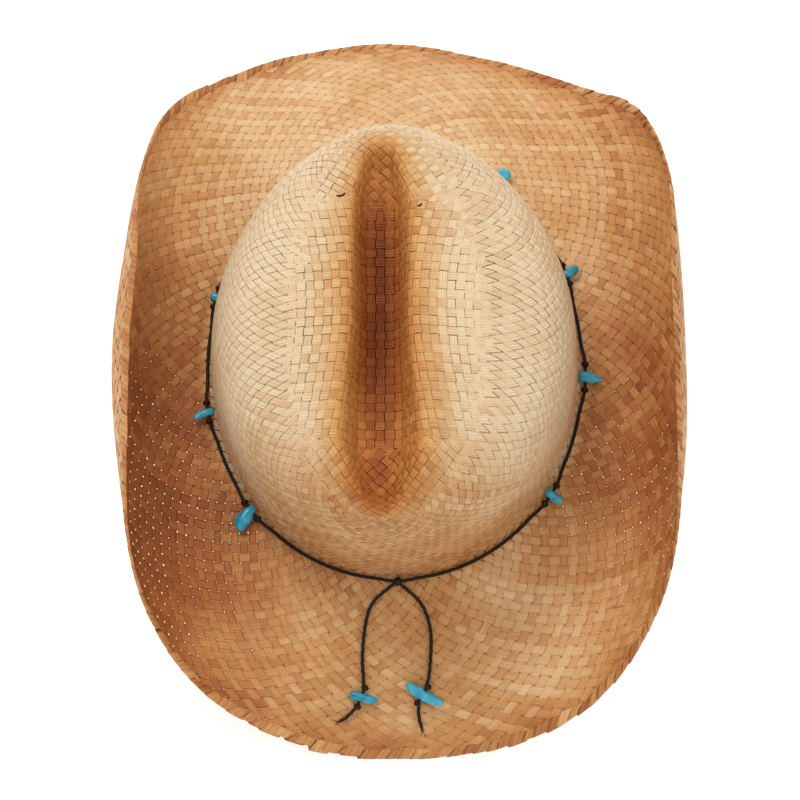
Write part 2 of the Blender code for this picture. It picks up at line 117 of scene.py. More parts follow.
# The two tie ends as they lie on the front of the brim, from beside the tie knot outwards: x, out
# and lift. x is across the hat and out is the way before the crown's foot, both in metres in the
# body's frame. lift is the height of the cord's middle over the straw as a share of its diameter.
TIE_LEFT = (
    (-0.0050, 0.0034, 1.0),
    (-0.0104, 0.0074, 0.75),
    (-0.0138, 0.0181, 0.75),
    (-0.0152, 0.0298, 0.75),
    (-0.0155, 0.0370, 0.80),
    (-0.0146, 0.0427, 1.10),
    (-0.0145, 0.0465, 1.40),
    (-0.0180, 0.0546, 1.40),
    (-0.0206, 0.0582, 0.90),
    (-0.0261, 0.0618, 0.75),
)
TIE_RIGHT = (
    (0.0058, 0.0028, 1.0),
    (0.0105, 0.0059, 0.75),
    (0.0147, 0.0127, 0.75),
    (0.0171, 0.0222, 0.75),
    (0.0168, 0.0321, 0.75),
    (0.0163, 0.0400, 0.90),
    (0.0157, 0.0452, 1.50),
    (0.0107, 0.0529, 1.50),
    (0.0110, 0.0580, 0.90),
    (0.0128, 0.0641, 0.75),
)

# The chips on the tie ends: tie, first, length, width, thick, inner, taper, bend and turn. tie is
# the end that goes through them. It is straight from point first of its route to the next, with the
# hole in the middle. turn is the angle between the chip's length and the cord, in degrees.
TIE_CHIPS = {
    "bead_8": ("left", 7, 0.0138, 0.0057, 0.0044, 0.0054, 0.30, 0.15, 100.0),
    "bead_9": ("right", 7, 0.0190, 0.0058, 0.0046, 0.0090, 0.10, -0.80, 77.0),
}

# How deep the crown's dye is by row, from 0, bleached straw, to 1, burnt brown, and how much it
# leans to orange.
CROWN_DYE = (
    (0.0, 0.22, 0.20), (1.0, 0.14, 0.10), (3.0, 0.08, 0.05), (6.0, 0.06, 0.10), (6.8, 0.09, 0.20),
    (7.3, 0.18, 0.80), (7.75, 0.28, 1.30), (8.1, 0.35, 1.80), (8.5, 0.41, 1.90), (9.0, 0.51, 1.80),
    (9.5, 0.69, 1.50), (10.0, 0.82, 1.40),
)

# What share of the crease's dye is left at a place along the hat, in metres from the middle.
CREASE_DYE = (
    (-0.110, 0.30), (-0.094, 0.34), (-0.075, 0.44), (-0.050, 0.68), (-0.020, 1.00), (0.016, 1.00),
    (0.045, 0.78), (0.064, 0.42), (0.080, 0.28), (0.100, 0.25),
)

# Broken strips in the crown's top, drawn as dark lenses that paint the shade in their gaps: place
# from the hat's middle, direction in degrees and length.
SHADED_NOTCHES = (
    (-0.0240, 0.0500, 10, 0.0050),
    (0.0110, 0.0450, 25, 0.0038),
)

# How deep the brim's dye is in each direction, in degrees from +X, half way out.
BRIM_DYE_COLUMNS = ("from_x", "dye")
BRIM_DYE = (
    (0, 0.51), (25, 0.34), (50, 0.27), (75, 0.22), (100, 0.23), (125, 0.25), (150, 0.37),
    (175, 0.56), (200, 0.65), (222, 0.61), (240, 0.43), (258, 0.31), (280, 0.30), (300, 0.25),
    (320, 0.44), (340, 0.57),
)

# The row of the crown's table where the weave of the sides meets the weave of the top.
SEAM_ROW = 6.3

# How far before and behind the crown's foot the crown's dye and widths turn into the brim's.
FOOT_BLEND = 0.004

# Half a strip's width as a share of the weave's pitch, how much less the narrowest strips have and
# how much less an open weave has, on the crown and on the brim.
CROWN_HALF, CROWN_NARROWER = 0.517, 0.012
BRIM_HALF, BRIM_NARROWER, BRIM_OPEN = 0.490, 0.026, 0.040

# How much a strip's width varies, how far it wanders in strip widths, how far it dives in metres at
# the ends of its zone and how far its edges drape.
WIDTH_VARIES, WANDER, DIVE, DRAPE = 0.022, 0.022, 0.0003, 0.00005

# A strip's places beside each crossing, in crossings, and its height there as a share of its lift.
CELL_PLACES = np.array([-0.37, 0.0, 0.37])
CELL_LIFTS = np.array([0.86, 1.0, 0.86])

# A strip's section over its upper side from edge to edge and back under it: the place across as a
# share of half its width, the height as a share of half its thickness, which points are edges and
# which lie underneath.
SECTION_ACROSS = np.array([-1.0, -0.62, 0.62, 1.0, 0.62, -0.62])
SECTION_UP = np.array([0.1, 1.0, 1.0, 0.1, -1.0, -1.0])
SECTION_EDGE = np.array([1.0, 0.0, 0.0, 1.0, 0.0, 0.0])
SECTION_UNDER = np.array([0.0, 0.0, 0.0, 0.0, 1.0, 1.0])

# Dye and amber of the hat's underside.
UNDERSIDE = (0.34, 0.35)

# The rim's wraps in metres: how far each lies on the brim, how far it stands out round the edge,
# how high it stands on the brim, how far its ends tuck in, how far it slants, half its thickness
# and how much higher one of its sides lies.
RIM_REACH, RIM_OUT, RIM_HEIGHT, RIM_TUCK = 0.0038, 0.0007, 0.00050, 0.0006
RIM_SLANT, RIM_HALF_THICK, RIM_LAP = 0.0034, 0.00014, 0.00020

# The share of a wrap's length that turns round the edge, its section across, and its dye and amber.
RIM_TURN = 0.2
RIM_ACROSS = np.array([-1.0, -0.6, 0.6, 1.0, 0.6, -0.6])
RIM_DYE, RIM_AMBER = 0.44, 0.7

# The loose fibres: how many, how many of them stand at the front left, and their thickness.
FIBRES, FRONT_FIBRES, FIBRE_RADIUS = 30, 8, 0.00018

# The cord: its plies, how much they swell, the length of one of their screws, its radius as a share
# of the solid cord's, and the threads of a frayed tip.
PLIES, PLY_SWELL, PLY_SCREW, PLY_RADIUS, TIP_THREADS = 3, 0.08, 0.0042, 0.94, 7

UP = np.array([0.0, 0.0, 1.0])


class StrawHatSettings(bpy.types.PropertyGroup):
    """Sizes and colours that a user would change."""

    head_width: FloatProperty(
        name="Head Width", description="Width of the crown at its wall's foot",
        default=0.175, unit="LENGTH")
    head_length: FloatProperty(
        name="Head Length", description="Length of the crown at its wall's foot",
        default=0.207, unit="LENGTH")
    crown_height: FloatProperty(
        name="Crown Height", description="Height of the crown's ridge over the head opening",
        default=0.110, unit="LENGTH")
    brim_width: FloatProperty(
        name="Brim Width", description="Length of the brim's strip from the crown to the edge",
        default=0.087, unit="LENGTH")
    wall: FloatProperty(
        name="Wall", description="Thickness of the woven wall", default=0.0016, unit="LENGTH")
    spirals: IntProperty(
        name="Spirals", description="Strips in each of the two spiral families", default=112)
    strip_thickness: FloatProperty(
        name="Strip Thickness", description="Thickness of a raffia strip",
        default=0.00028, unit="LENGTH")
    crown_lift: FloatProperty(
        name="Crown Lift", description="How far a strip of the crown rises over the others",
        default=0.00017, unit="LENGTH")
    brim_lift: FloatProperty(
        name="Brim Lift", description="How far a strip of the brim rises over the others",
        default=0.00009, unit="LENGTH")
    wraps: IntProperty(
        name="Rim Wraps", description="Strips that turn round the brim's edge", default=184)
    cord_diameter: FloatProperty(
        name="Cord Diameter", description="Thickness of the band's cord",
        default=0.0017, unit="LENGTH")
    knot_diameter: FloatProperty(
        name="Knot Diameter", description="Thickness of the knots beside the chips",
        default=0.0034, unit="LENGTH")
    tie_knot_diameter: FloatProperty(
        name="Tie Knot Diameter", description="Thickness of the knot at the front",
        default=0.0046, unit="LENGTH")
    straw_pale: FloatVectorProperty(
        name="Bleached Straw", description="Colour of the straw without dye",
        default=(0.83, 0.64, 0.41), subtype="COLOR")
    straw_brown: FloatVectorProperty(
        name="Burnt Straw", description="Colour of the straw with the most dye",
        default=(0.115, 0.022, 0.002), subtype="COLOR")
    turquoise: FloatVectorProperty(
        name="Turquoise", description="Colour of the stone chips",
        default=(0.012, 0.32, 0.47), subtype="COLOR")
    cord_colour: FloatVectorProperty(
        name="Cord", description="Colour of the waxed cord",
        default=(0.005, 0.0035, 0.003), subtype="COLOR")


# Form of the body

def turns(count):
    """Even angles once round, from 0."""
    return np.arange(count) * math.tau / count


def summed(steps):
    """Running sums of the steps, from 0."""
    return np.concatenate([[0], np.cumsum(steps)])


def running_length(points):
    """The length from a line's first point to each of its points."""
    return summed(np.linalg.norm(np.diff(points, axis=0), axis=1))


def through(x, stations, values):
    """A smooth curve through the values: cubic pieces whose slope at a station is the mean of the
    slopes beside it, each weighted by the other's length."""
    stations = np.asarray(stations, float)
    values = np.asarray(values, float)
    length = np.diff(stations)
    slope = np.diff(values) / length
    tangent = np.empty_like(values)
    tangent[1:-1] = (slope[:-1] * length[1:] + slope[1:] * length[:-1]) / (length[1:] + length[:-1])
    tangent[0], tangent[-1] = slope[0], slope[-1]
    i = np.clip(np.searchsorted(stations, x, side="right") - 1, 0, len(length) - 1)
    t = (x - stations[i]) / length[i]
    rise = t * t * (3 - 2 * t)
    start = t * (1 - t) ** 2 * length[i] * tangent[i]
    end = t * t * (t - 1) * length[i] * tangent[i + 1]
    return values[i] * (1 - rise) + values[i + 1] * rise + start + end


def crown_column(row, name):
    """A column of the crown's table at a row number, which may lie between two rows."""
    at = CROWN_COLUMNS.index(name)
    values = [line[at] for line in CROWN_ROWS.values()]
    return through(row, np.arange(len(values)), values)


def turning(angle, rows, at):
    """A column of a table whose rows go round from +X in degrees. Three rows close each end."""
    turn = [row[0] for row in rows]
    values = [row[at] for row in rows]
    stations = [a - 360 for a in turn[-3:]] + turn + [a + 360 for a in turn[:3]]
    return through(np.degrees(angle) % 360, stations, values[-3:] + values + values[:3])


def crown_point(sizes, angle, row):
    """The crown's outer surface: a superellipse ring at each row of the table, narrower behind by
    the egg, wider in front by the flare, and lower or higher at its ends by the sine's square."""
    square = crown_column(row, "square")
    c, s = np.cos(angle), np.sin(angle)
    radius = (np.abs(c) ** square + np.abs(s) ** square) ** (-1 / square)
    return crown_on_ring(sizes, c * radius, s * radius, row)


def crown_on_ring(sizes, c, s, row):
    """The crown's point whose shares of the ring's half width and reach are c and s."""
    behind = s > 0
    reach = np.where(behind, crown_column(row, "back"), crown_column(row, "front"))
    end_up = np.where(behind, crown_column(row, "back_up"), crown_column(row, "front_up"))
    side_up = crown_column(row, "side_up")
    wide = 1 - crown_column(row, "egg") * s
    wide = wide * (1 + crown_column(row, "flare") * np.where(behind, 0, 4 * s * s * (1 - s * s)))
    x = sizes.head_width / 2 * (crown_column(row, "across") * c * wide + crown_column(row, "shift"))
    y = sizes.head_length / 2 * reach * s
    z = sizes.crown_height * (side_up + (end_up - side_up) * s * s)
    return np.stack([x, y, z], -1)


def brim_point(sizes, angle, share):
    """The brim's upper surface: from the crown's foot a strip runs out square to the foot, and its
    slope goes from start to end by the power curl of the share of its width that is passed."""
    foot = crown_point(sizes, angle, np.zeros_like(angle))
    half_width = sizes.head_width / 2 * crown_column(0, "across")
    half_length = sizes.head_length / 2 * crown_column(0, "back")
    outward = np.stack([np.cos(angle) / half_width, np.sin(angle) / half_length], -1)
    outward /= np.linalg.norm(outward, axis=-1, keepdims=True)
    start = np.radians(turning(angle, BRIM_ROWS, BRIM_COLUMNS.index("start")))
    end = np.radians(turning(angle, BRIM_ROWS, BRIM_COLUMNS.index("end")))
    curl = turning(angle, BRIM_ROWS, BRIM_COLUMNS.index("curl"))
    nodes, weights = np.polynomial.legendre.leggauss(12)
    run = np.zeros_like(share)
    rise = np.zeros_like(share)
    for node, weight in zip((nodes + 1) / 2, weights / 2):
        slope = start + (end - start) * (share * node) ** curl
        run += weight * np.cos(slope)
        rise += weight * np.sin(slope)
    strip = share * sizes.brim_width * turning(angle, BRIM_ROWS, BRIM_COLUMNS.index("width"))
    point = foot.copy()
    point[..., :2] += outward * (run * strip)[..., None]
    point[..., 2] += rise * strip
    return point


def unit(vectors):
    """Vectors of length one along the given ones."""
    return vectors / np.maximum(np.linalg.norm(vectors, axis=-1, keepdims=True), 1e-12)


def seat_matrix(sizes):
    """The move from the body's own frame, whose z = 0 is the head opening, to the hat's frame. The
    hat leans until the front and back edges of its brim are equally low, and then stands at z = 0
    under the middle of its outline."""
    halvings, shares = 40, 60
    angle = turns(720)
    edge = brim_point(sizes, angle, np.ones_like(angle))
    low, high = math.radians(-20), math.radians(20)
    before = edge[:, 1] < 0
    for _ in range(halvings):
        lean = (low + high) / 2
        height = edge[:, 1] * math.sin(lean) + edge[:, 2] * math.cos(lean)
        if height[~before].min() < height[before].min():
            low = lean
        else:
            high = lean
    upper = brim_point(sizes, *np.meshgrid(angle, np.linspace(0, 1, shares)))
    along_ring = np.roll(upper, -1, axis=1) - np.roll(upper, 1, axis=1)
    lower = upper - unit(np.cross(np.gradient(upper, axis=0), along_ring)) * sizes.wall
    leaning = np.concatenate([upper, lower]).reshape(-1, 3)
    leaning = leaning @ np.array(Matrix.Rotation(lean, 3, "X")).T
    middle = (leaning.min(axis=0) + leaning.max(axis=0)) / 2
    place = Vector((-middle[0], -middle[1], -leaning[:, 2].min()))
    return Matrix.Translation(place) @ Matrix.Rotation(lean, 4, "X")


def turned(directions, seat):
    """Directions of the body's frame in the hat's frame."""
    return directions @ np.array(seat.to_3x3()).T


def placed(points, seat):
    """Points of the body's frame in the hat's frame."""
    return turned(points, seat) + np.array(seat.translation)


def body_tree():
    """The solid body as a tree that rays and nearest points are looked up in."""
    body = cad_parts["woven_body"].data
    return BVHTree.FromPolygons([v.co for v in body.vertices],
                                [tuple(p.vertices) for p in body.polygons])


def smooth(value, low, high):
    """0 below low, 1 above high, and a smooth step between."""
    t = np.clip((value - low) / (high - low), 0, 1)
    return t * t * (3 - 2 * t)


def resample(table, stations, even):
    """Each column of a table, known at its own rows' stations, read at even stations."""
    flat = table.reshape(len(table), -1)
    at = np.interp(even, stations, np.arange(len(table)))
    low = np.clip(np.floor(at).astype(int), 0, len(table) - 2)
    part = (at - low)[:, None]
    return (flat[low] * (1 - part) + flat[low + 1] * part).reshape((len(even),) + table.shape[1:])


# Dye of the straw

def crown_dye(rows, y):
    """Dye and amber of the crown by its row number. In the crease they fade towards its ends. The
    front is a little deeper: partly a stain at its front top and partly painted shade of the front
    wall, which faces away from the lamps. The back end is a little deeper too."""
    stations, dyes, ambers = zip(*CROWN_DYE)
    dye, amber = through(rows, stations, dyes), through(rows, stations, ambers)
    places, shares = zip(*CREASE_DYE)
    share = through(np.clip(y, places[0], places[-1]), places, shares)
    # Painted shade and stain: the front is darkened partly as if its wall faced away from the lamps,
    # partly by a stain at its front top.
    front = 0.27 * smooth(-y, 0.040, 0.105)
    back = 0.16 * smooth(y, 0.055, 0.085) * smooth(rows, 5.0, 7.0)
    ends = front + back
    outside_crease = 0.14
    fading = np.maximum(dye - outside_crease, 0) * (1 - share)
    return dye - fading + ends, amber + 1.2 * ends


def brim_dye(angle, share, edge_distance):
    """Dye and amber of the brim's upper side by direction, share of the width and distance to the
    edge: the table half way out, a little darker beside the crown in front and paler beside it
    elsewhere, and burnt again along the edge."""
    beside_crown, burnt_edge = 0.08, 0.012
    sides = turning(angle, BRIM_DYE, BRIM_DYE_COLUMNS.index("dye"))
    front = np.clip(-np.sin(angle), 0, 1) ** 4
    near = (1 - smooth(share, 0.0, 0.45)) * (beside_crown * front - beside_crown * (1 - front))
    edge = np.exp(-(edge_distance / burnt_edge) ** 2)
    dye = sides + near + 0.24 * edge * (1 - sides)
    return np.clip(dye, 0, 1), 0.20 + 1.10 * sides + 0.35 * edge


# Weave

class Weave:
    """Tables of points, normals, dye and amber on an even grid over a part of the hat. DEPTH is how
    far the strips' middle lies under the wall's outer side, as a share of the wall."""

    DEPTH = 0.32

    def read(self, table, row, column):
        """A table read between its places by weights. A closed one joins its last column to its
        first."""
        rows, columns = table.shape[:2]
        row = np.clip(row, 0, rows - 1.001)
        r = np.floor(row).astype(int)
        if self.closed:
            column = column % columns
            c = np.floor(column).astype(int)
            next_c = (c + 1) % columns
        else:
            column = np.clip(column, 0, columns - 1.001)
            c = np.floor(column).astype(int)
            next_c = c + 1
        fr, fc = row - r, column - c
        if table.ndim == 3:
            fr, fc = fr[..., None], fc[..., None]
        near = table[r, c % columns] * (1 - fc) + table[r, next_c] * fc
        far = table[r + 1, c % columns] * (1 - fc) + table[r + 1, next_c] * fc
        return near * (1 - fr) + far * fr

    def lay(self, outer, normals, sizes, seat):
        """Takes the tables of points and normals from the wall's outer side to the hat's frame."""
        self.points = placed(outer - normals * sizes.wall * self.DEPTH, seat)
        self.normals = turned(normals, seat)


class SpiralWeave(Weave):
    """The walls and the brim, woven from two families of spirals that cross all the way from the
    seam on the crown out to the edge. The table's rows are even steps of the spirals' progress and
    its columns are even lengths round each ring."""

    closed = True
    ROWS = 640
    COLUMNS = 720

    # How far the tables reach over the seam in rows of the crown's table, how far the strips do in
    # crossings, by how many crossings their ends differ, and how many they lack to the brim's edge.
    ROWS_OVER_SEAM = 0.6
    CELLS_OVER_SEAM = 0.7
    CELLS_RAGGED = 1.2
    CELLS_TO_EDGE = 0.15

    # The weave's pitch at places before and behind the crown's foot, both in metres, and the sine of
    # the spirals' slope, at most.
    PITCH_AT = (-0.10, 0.0, 0.085)
    PITCH = (0.0037, 0.0044, 0.00465)
    MOST_SINE = 0.93

    # Directions in degrees where the weave is open, how far that reaches and how open it is.
    OPEN = ((215, 28, 1.0), (328, 18, 0.8))

    def __init__(self, sizes, seat):
        self.count = sizes.spirals
        self.step = math.pi / sizes.spirals
        row_number, angle, points = self.rings(sizes)
        foot = np.flatnonzero(row_number <= 0)[0]
        spacing = np.linalg.norm(np.diff(points, axis=0), axis=-1).mean(axis=1)
        walk = summed(spacing)
        walk -= walk[foot]
        progress = self.progress(points, spacing, walk)
        progress -= progress[foot]
        self.cells_out = round(progress[-1] / self.step) - self.CELLS_TO_EDGE
        progress *= np.where(progress > 0, self.cells_out * self.step / progress[-1], 1)
        even = np.linspace(progress[0], progress[-1], self.ROWS)
        self.first = even[0]
        self.per_row = even[1] - even[0]
        outer = resample(points, progress, even)
        along_ring = np.roll(outer, -1, axis=1) - np.roll(outer, 1, axis=1)
        normals = unit(np.cross(np.gradient(outer, axis=0), along_ring))
        rows = np.interp(even, progress, row_number)
        self.walk = np.interp(even, progress, walk)
        self.cells_in = -(np.interp(-SEAM_ROW, -rows, even)) / self.step + self.CELLS_OVER_SEAM
        self.lay(outer, normals, sizes, seat)
        self.colour(resample(np.unwrap(angle, axis=1), progress, even), rows, outer[..., 1])

    @classmethod
    def rings(cls, sizes):
        """Rings from over the seam down the crown and out over the brim: their row numbers, which
        are minus the share of the width on the brim, and the angles and points of each at even
        lengths from the angle 0."""
        crown_rows = np.arange(SEAM_ROW + cls.ROWS_OVER_SEAM, 0.0, -0.04)
        shares = np.linspace(0, 1, 160)
        dense = np.linspace(0, math.tau, 1441)
        evened = []
        for surface, values in ((crown_point, crown_rows), (brim_point, shares)):
            for ring in surface(sizes, *np.meshgrid(dense, values)):
                length = running_length(ring)
                at = np.arange(cls.COLUMNS) * length[-1] / cls.COLUMNS
                columns = (*ring.T, dense)
                evened.append(np.stack([np.interp(at, length, line) for line in columns], -1))
        evened = np.array(evened)
        return np.concatenate([crown_rows, -shares]), evened[..., 3], evened[..., :3]

    def progress(self, points, spacing, walk):
        """The angle that a spiral has turned at each ring. Its slope's sine is the pitch over the
        length between two spirals of a family round the ring."""
        ring = np.linalg.norm(np.diff(points, axis=1, append=points[:, :1]), axis=-1).sum(axis=1)
        radius = ring / math.tau
        pitch = np.interp(walk, self.PITCH_AT, self.PITCH)
        sine = np.clip(pitch / (2 * radius * self.step), 0, self.MOST_SINE)
        slope = sine / np.sqrt(1 - sine * sine)
        middle = (radius[1:] + radius[:-1]) / 2 * (slope[1:] + slope[:-1]) / 2
        return summed(spacing / middle)

    def colour(self, angle, rows, y):
        """The dye and amber tables of the upper side."""
        row = rows[:, None] + np.zeros_like(angle)
        dye, amber = crown_dye(np.clip(row, 0, len(CROWN_ROWS) - 1), y)
        distance = (self.walk[-1] - self.walk)[:, None] + np.zeros_like(angle)
        brim, brim_amber = brim_dye(angle, np.clip(-row, 0, 1), distance)
        on_brim = smooth(self.walk, -FOOT_BLEND, FOOT_BLEND)[:, None]
        self.dye = dye * (1 - on_brim) + brim * on_brim
        self.amber = amber * (1 - on_brim) + brim_amber * on_brim

    def lattice(self, family, number, along, side):
        """Row and column of a place on a strip: along counts crossings from the foot, side is the
        distance from its middle in strip widths."""
        progress = (along - family * side) * self.step
        turn = (2 * number + family * along + side) * self.step
        return (progress - self.first) / self.per_row, turn / math.tau * self.COLUMNS

    def strips(self, rng):
        """Family, number, first and last crossing and parity of every strip."""
        for family in (1, -1):
            for number in range(self.count):
                first = -self.cells_in - rng.uniform(0, self.CELLS_RAGGED)
                yield family, number, first, self.cells_out, 0

    def openness(self, column):
        """How open the weave is, from 0 to 1."""
        degrees = column / self.COLUMNS * 360 % 360
        return sum(most * np.exp(-((degrees - at) / reach) ** 2) for at, reach, most in self.OPEN)

    def over_crown(self, row):
        """1 on the crown and 0 on the brim."""
        walk = np.interp(row, np.arange(len(self.walk)), self.walk)
        return 1 - smooth(walk, -FOOT_BLEND, FOOT_BLEND)


class TopWeave(Weave):
    """A zone of the crown's top, woven as a flat grid that is laid over the ridges and down into the
    crease. The table's columns are even lengths across from the crease's middle, and its rows are
    even lengths along it. HALF and SPACING are the grid's half width and step in metres."""

    closed = False
    HALF = 0.100
    SPACING = 0.0005

    # Lines across the top and places on each line before they are made even, how far the tables
    # reach over the seam in rows of the crown's table, and the lines' gap to the ends in metres.
    LINES = 420
    PLACES = 401
    ROWS_OVER_SEAM = 0.55
    END_GAP = 0.0004

    # How the row number falls beyond the end of a line, and its least change on the top, both in
    # rows a metre.
    FALL = 60
    LEAST_GRADE = 18

    # The band of the top, beside the crease's middle, along which lengths are true.
    TRUE_AT, TRUE_REACH = 0.024, 0.003

    # The strips tried on both sides of the middle, how far they are followed in crossings, and how
    # far they reach over the seam in metres, at most and at least.
    STRIPS, CELLS = 36, 40
    MOST_OVER, LEAST_OVER = 0.0060, 0.0016

    def __init__(self, sizes, seat, zone, pitch, turn):
        self.zone = zone
        self.pitch = pitch
        self.turn = turn
        y, evened = self.lines(sizes)
        across = np.arange(-self.HALF, self.HALF, self.SPACING)
        true = np.abs(np.abs(across) - self.TRUE_AT) < self.TRUE_REACH
        steps = np.linalg.norm(np.diff(evened[:, true, :3], axis=0), axis=-1).mean(axis=1)
        along = summed(steps)
        along -= np.interp(0, y, along)
        self.start = along[0]
        table = resample(evened, along, np.arange(along[0], along[-1], self.SPACING))
        outer, row_number = table[..., :3], table[..., 3]
        normals = unit(np.cross(np.gradient(outer, axis=1), np.gradient(outer, axis=0)))
        grade = np.hypot(np.gradient(row_number, self.SPACING, axis=0),
                         np.gradient(row_number, self.SPACING, axis=1))
        self.depth = (row_number - SEAM_ROW) / np.maximum(grade, self.LEAST_GRADE)
        self.lay(outer, normals, sizes, seat)
        on_table = np.clip(row_number, 0, len(CROWN_ROWS) - 1)
        self.dye, self.amber = crown_dye(on_table, outer[..., 1])

    @classmethod
    def lines(cls, sizes):
        """The places y of lines across the crown's top, and points and row numbers at even lengths
        on each. From the crease's middle to a side the row number falls by a power of the share."""
        half_length = sizes.head_length / 2
        outer_row = SEAM_ROW - cls.ROWS_OVER_SEAM
        front, back = (half_length * crown_column(outer_row, end) - cls.END_GAP
                       for end in ("front", "back"))
        y = np.linspace(-front, back, cls.LINES)
        row_line = np.linspace(outer_row, len(CROWN_ROWS) - 1, 900)
        top_back = np.interp(-y, -half_length * crown_column(row_line, "back"), row_line)
        top_front = np.interp(y, -half_length * crown_column(row_line, "front"), row_line)
        top = np.where(y > 0, top_back, top_front)
        side = np.linspace(-1, 1, cls.PLACES)
        row = top[:, None] - (top - outer_row)[:, None] * np.abs(side)[None, :] ** 1.8
        reach = np.where(y[:, None] > 0, crown_column(row, "back"), crown_column(row, "front"))
        s = np.clip(y[:, None] / (half_length * reach), -1, 1)
        square = crown_column(row, "square")
        c = np.sign(side)[None, :] * (1 - np.abs(s) ** square).clip(0) ** (1 / square)
        surface = crown_on_ring(sizes, c, s, row)
        middle = cls.PLACES // 2
        across = np.arange(-cls.HALF, cls.HALF, cls.SPACING)
        evened = np.empty((len(y), len(across), 4))
        for line, places in enumerate(np.concatenate([surface, row[..., None]], axis=-1)):
            length = running_length(places[:, :3])
            length -= length[middle]
            evened[line] = np.stack([np.interp(across, length, value) for value in places.T], -1)
            beyond = np.maximum(across - length[-1], 0) + np.maximum(length[0] - across, 0)
            evened[line, :, 3] -= cls.FALL * beyond
        evened[..., :3] = cls.softened(evened[..., :3])
        return y, evened

    @staticmethod
    def softened(table):
        """A table whose sharp lines are rounded by running means of five, two along each axis."""
        for axis in (0, 0, 1, 1):
            wide = np.pad(table, [(2, 2) if i == axis else (0, 0) for i in range(3)], "edge")
            shifted = [np.take(wide, np.arange(table.shape[axis]) + i, axis) for i in range(5)]
            table = sum(shifted) / len(shifted)
        return table

    def lattice(self, family, number, along, side):
        """Row and column of a place on a strip. The first family runs along the grid's first
        direction, the second across it."""
        u, v = (along, number + side) if family > 0 else (number - side, along)
        c, s = math.cos(self.turn), math.sin(self.turn)
        across = self.pitch * (u * c - v * s)
        length = self.pitch * (u * s + v * c)
        return (length - self.start) / self.SPACING, (across + self.HALF) / self.SPACING

    def inside(self, row, column):
        """Distance from the nearest border of the zone in metres, more inside it."""
        depth = self.read(self.depth, row, column)
        length = row * self.SPACING + self.start
        across = column * self.SPACING - self.HALF
        low, high = self.zone
        ends = np.minimum(length - low, high - length)
        off_the_grid = np.abs(across) > self.HALF - 0.002
        return np.where(off_the_grid, -1, np.minimum(depth, ends))

    def strips(self, rng):
        """Family, number, first and last crossing and parity of every strip that meets the zone."""
        along = np.arange(-self.CELLS, self.CELLS, 0.25)
        for family in (1, -1):
            for number in range(-self.STRIPS, self.STRIPS + 1):
                row, column = self.lattice(family, number, along, np.zeros_like(along))
                held = self.inside(row, column) > rng.uniform(-self.MOST_OVER, -self.LEAST_OVER)
                held &= (row > 0) & (row < len(self.points) - 1)
                edges = np.flatnonzero(np.diff(np.concatenate([[0], held.astype(int), [0]])))
                for first, last in zip(edges[::2], edges[1::2] - 1):
                    if along[last] - along[first] >= 1:
                        yield family, number, along[first], along[last], number

    def openness(self, column):
        """The top's weave is closed everywhere."""
        return np.zeros_like(column)

    def over_crown(self, row):
        """The whole zone is crown."""
        return np.ones_like(row)


def strip_tone(family, number, along, rng):
    """A strip's own tone: one for the whole strip, a slow wave, steps of one crossing, a drift over
    many strips, and now and then a dark strip."""
    tone = rng.normal() + 0.6 * np.sin(along * rng.uniform(0.1, 0.4) + rng.uniform(0, 6))
    tone = tone + 0.5 * np.repeat(rng.normal(size=len(along) // 3 + 1), 3)[:len(along)]
    tone = tone + family * 0.7 * np.sin(number * 0.11 + along * 0.07)
    if rng.uniform() < 0.05:
        tone = tone + 1.6
    return tone


def strip_mesh(weave, sizes, family, number, first, last, parity, rng):
    """One strip as closed sections of six points along its middle. It rises over a strip of the
    other family and dips under the next, its edges drape, and it dives at the ends of its zone."""
    cells = np.arange(math.ceil(first - 0.5), math.floor(last + 0.5) + 1)
    along = (cells[:, None] + CELL_PLACES).ravel()
    over = np.where((cells + parity) % 2 == 0, 1.0, -1.0) * family
    lift = (over[:, None] * CELL_LIFTS).ravel()
    kept = (along > first) & (along < last)
    along = np.concatenate([[first], along[kept], [last]])
    lift = np.concatenate([lift[kept][:1], lift[kept], lift[kept][-1:]])
    wave = rng.normal(size=4)
    bends = wave[0] * np.sin(along * 0.31 + wave[1]) + wave[2] * np.sin(along * 0.83 + wave[3])
    narrow = rng.uniform(0.0, 1.0) ** 1.5
    middle_row, middle_column = weave.lattice(family, number, along, np.zeros_like(along))
    crown = weave.over_crown(middle_row)
    open_ = weave.openness(middle_column)
    half = crown * (CROWN_HALF - CROWN_NARROWER * narrow) + (1 - crown) * (
        BRIM_HALF - BRIM_NARROWER * narrow - BRIM_OPEN * open_)
    half = half * (1 + WIDTH_VARIES * rng.normal(size=len(along)))
    side = WANDER * bends[:, None] + half[:, None] * SECTION_ACROSS
    row, column = weave.lattice(family, number, along[:, None], side)
    dive = -DIVE * (1 - smooth(along - first, 0.0, 1.0))
    if not weave.closed:
        dive = dive - DIVE * (1 - smooth(last - along, 0.0, 1.0))
    body = sizes.strip_thickness * rng.uniform(0.85, 1.1) / 2 * SECTION_UP
    height = crown * sizes.crown_lift + (1 - crown) * sizes.brim_lift
    lift = height * lift * rng.uniform(0.85, 1.15, size=len(along))
    drape = -np.sign(lift)[:, None] * DRAPE * SECTION_EDGE
    points = weave.read(weave.points, row, column)
    normals = weave.read(weave.normals, row, column)
    points = points + normals * (lift[:, None] + body + drape + dive[:, None])[..., None]
    dye, amber = (weave.read(table, row, column) * (1 - SECTION_UNDER) + under * SECTION_UNDER
                  for table, under in zip((weave.dye, weave.amber), UNDERSIDE))
    tone = strip_tone(family, number, along, rng)
    length = running_length(points[:, 1])
    uv = np.stack(np.broadcast_arrays(length[:, None], SECTION_ACROSS), -1)
    strand = {"points": points, "uv": uv, "dye": dye, "amber": amber}
    return marked(strand, tone=tone[:, None], strip=rng.uniform(), crown=crown[:, None])


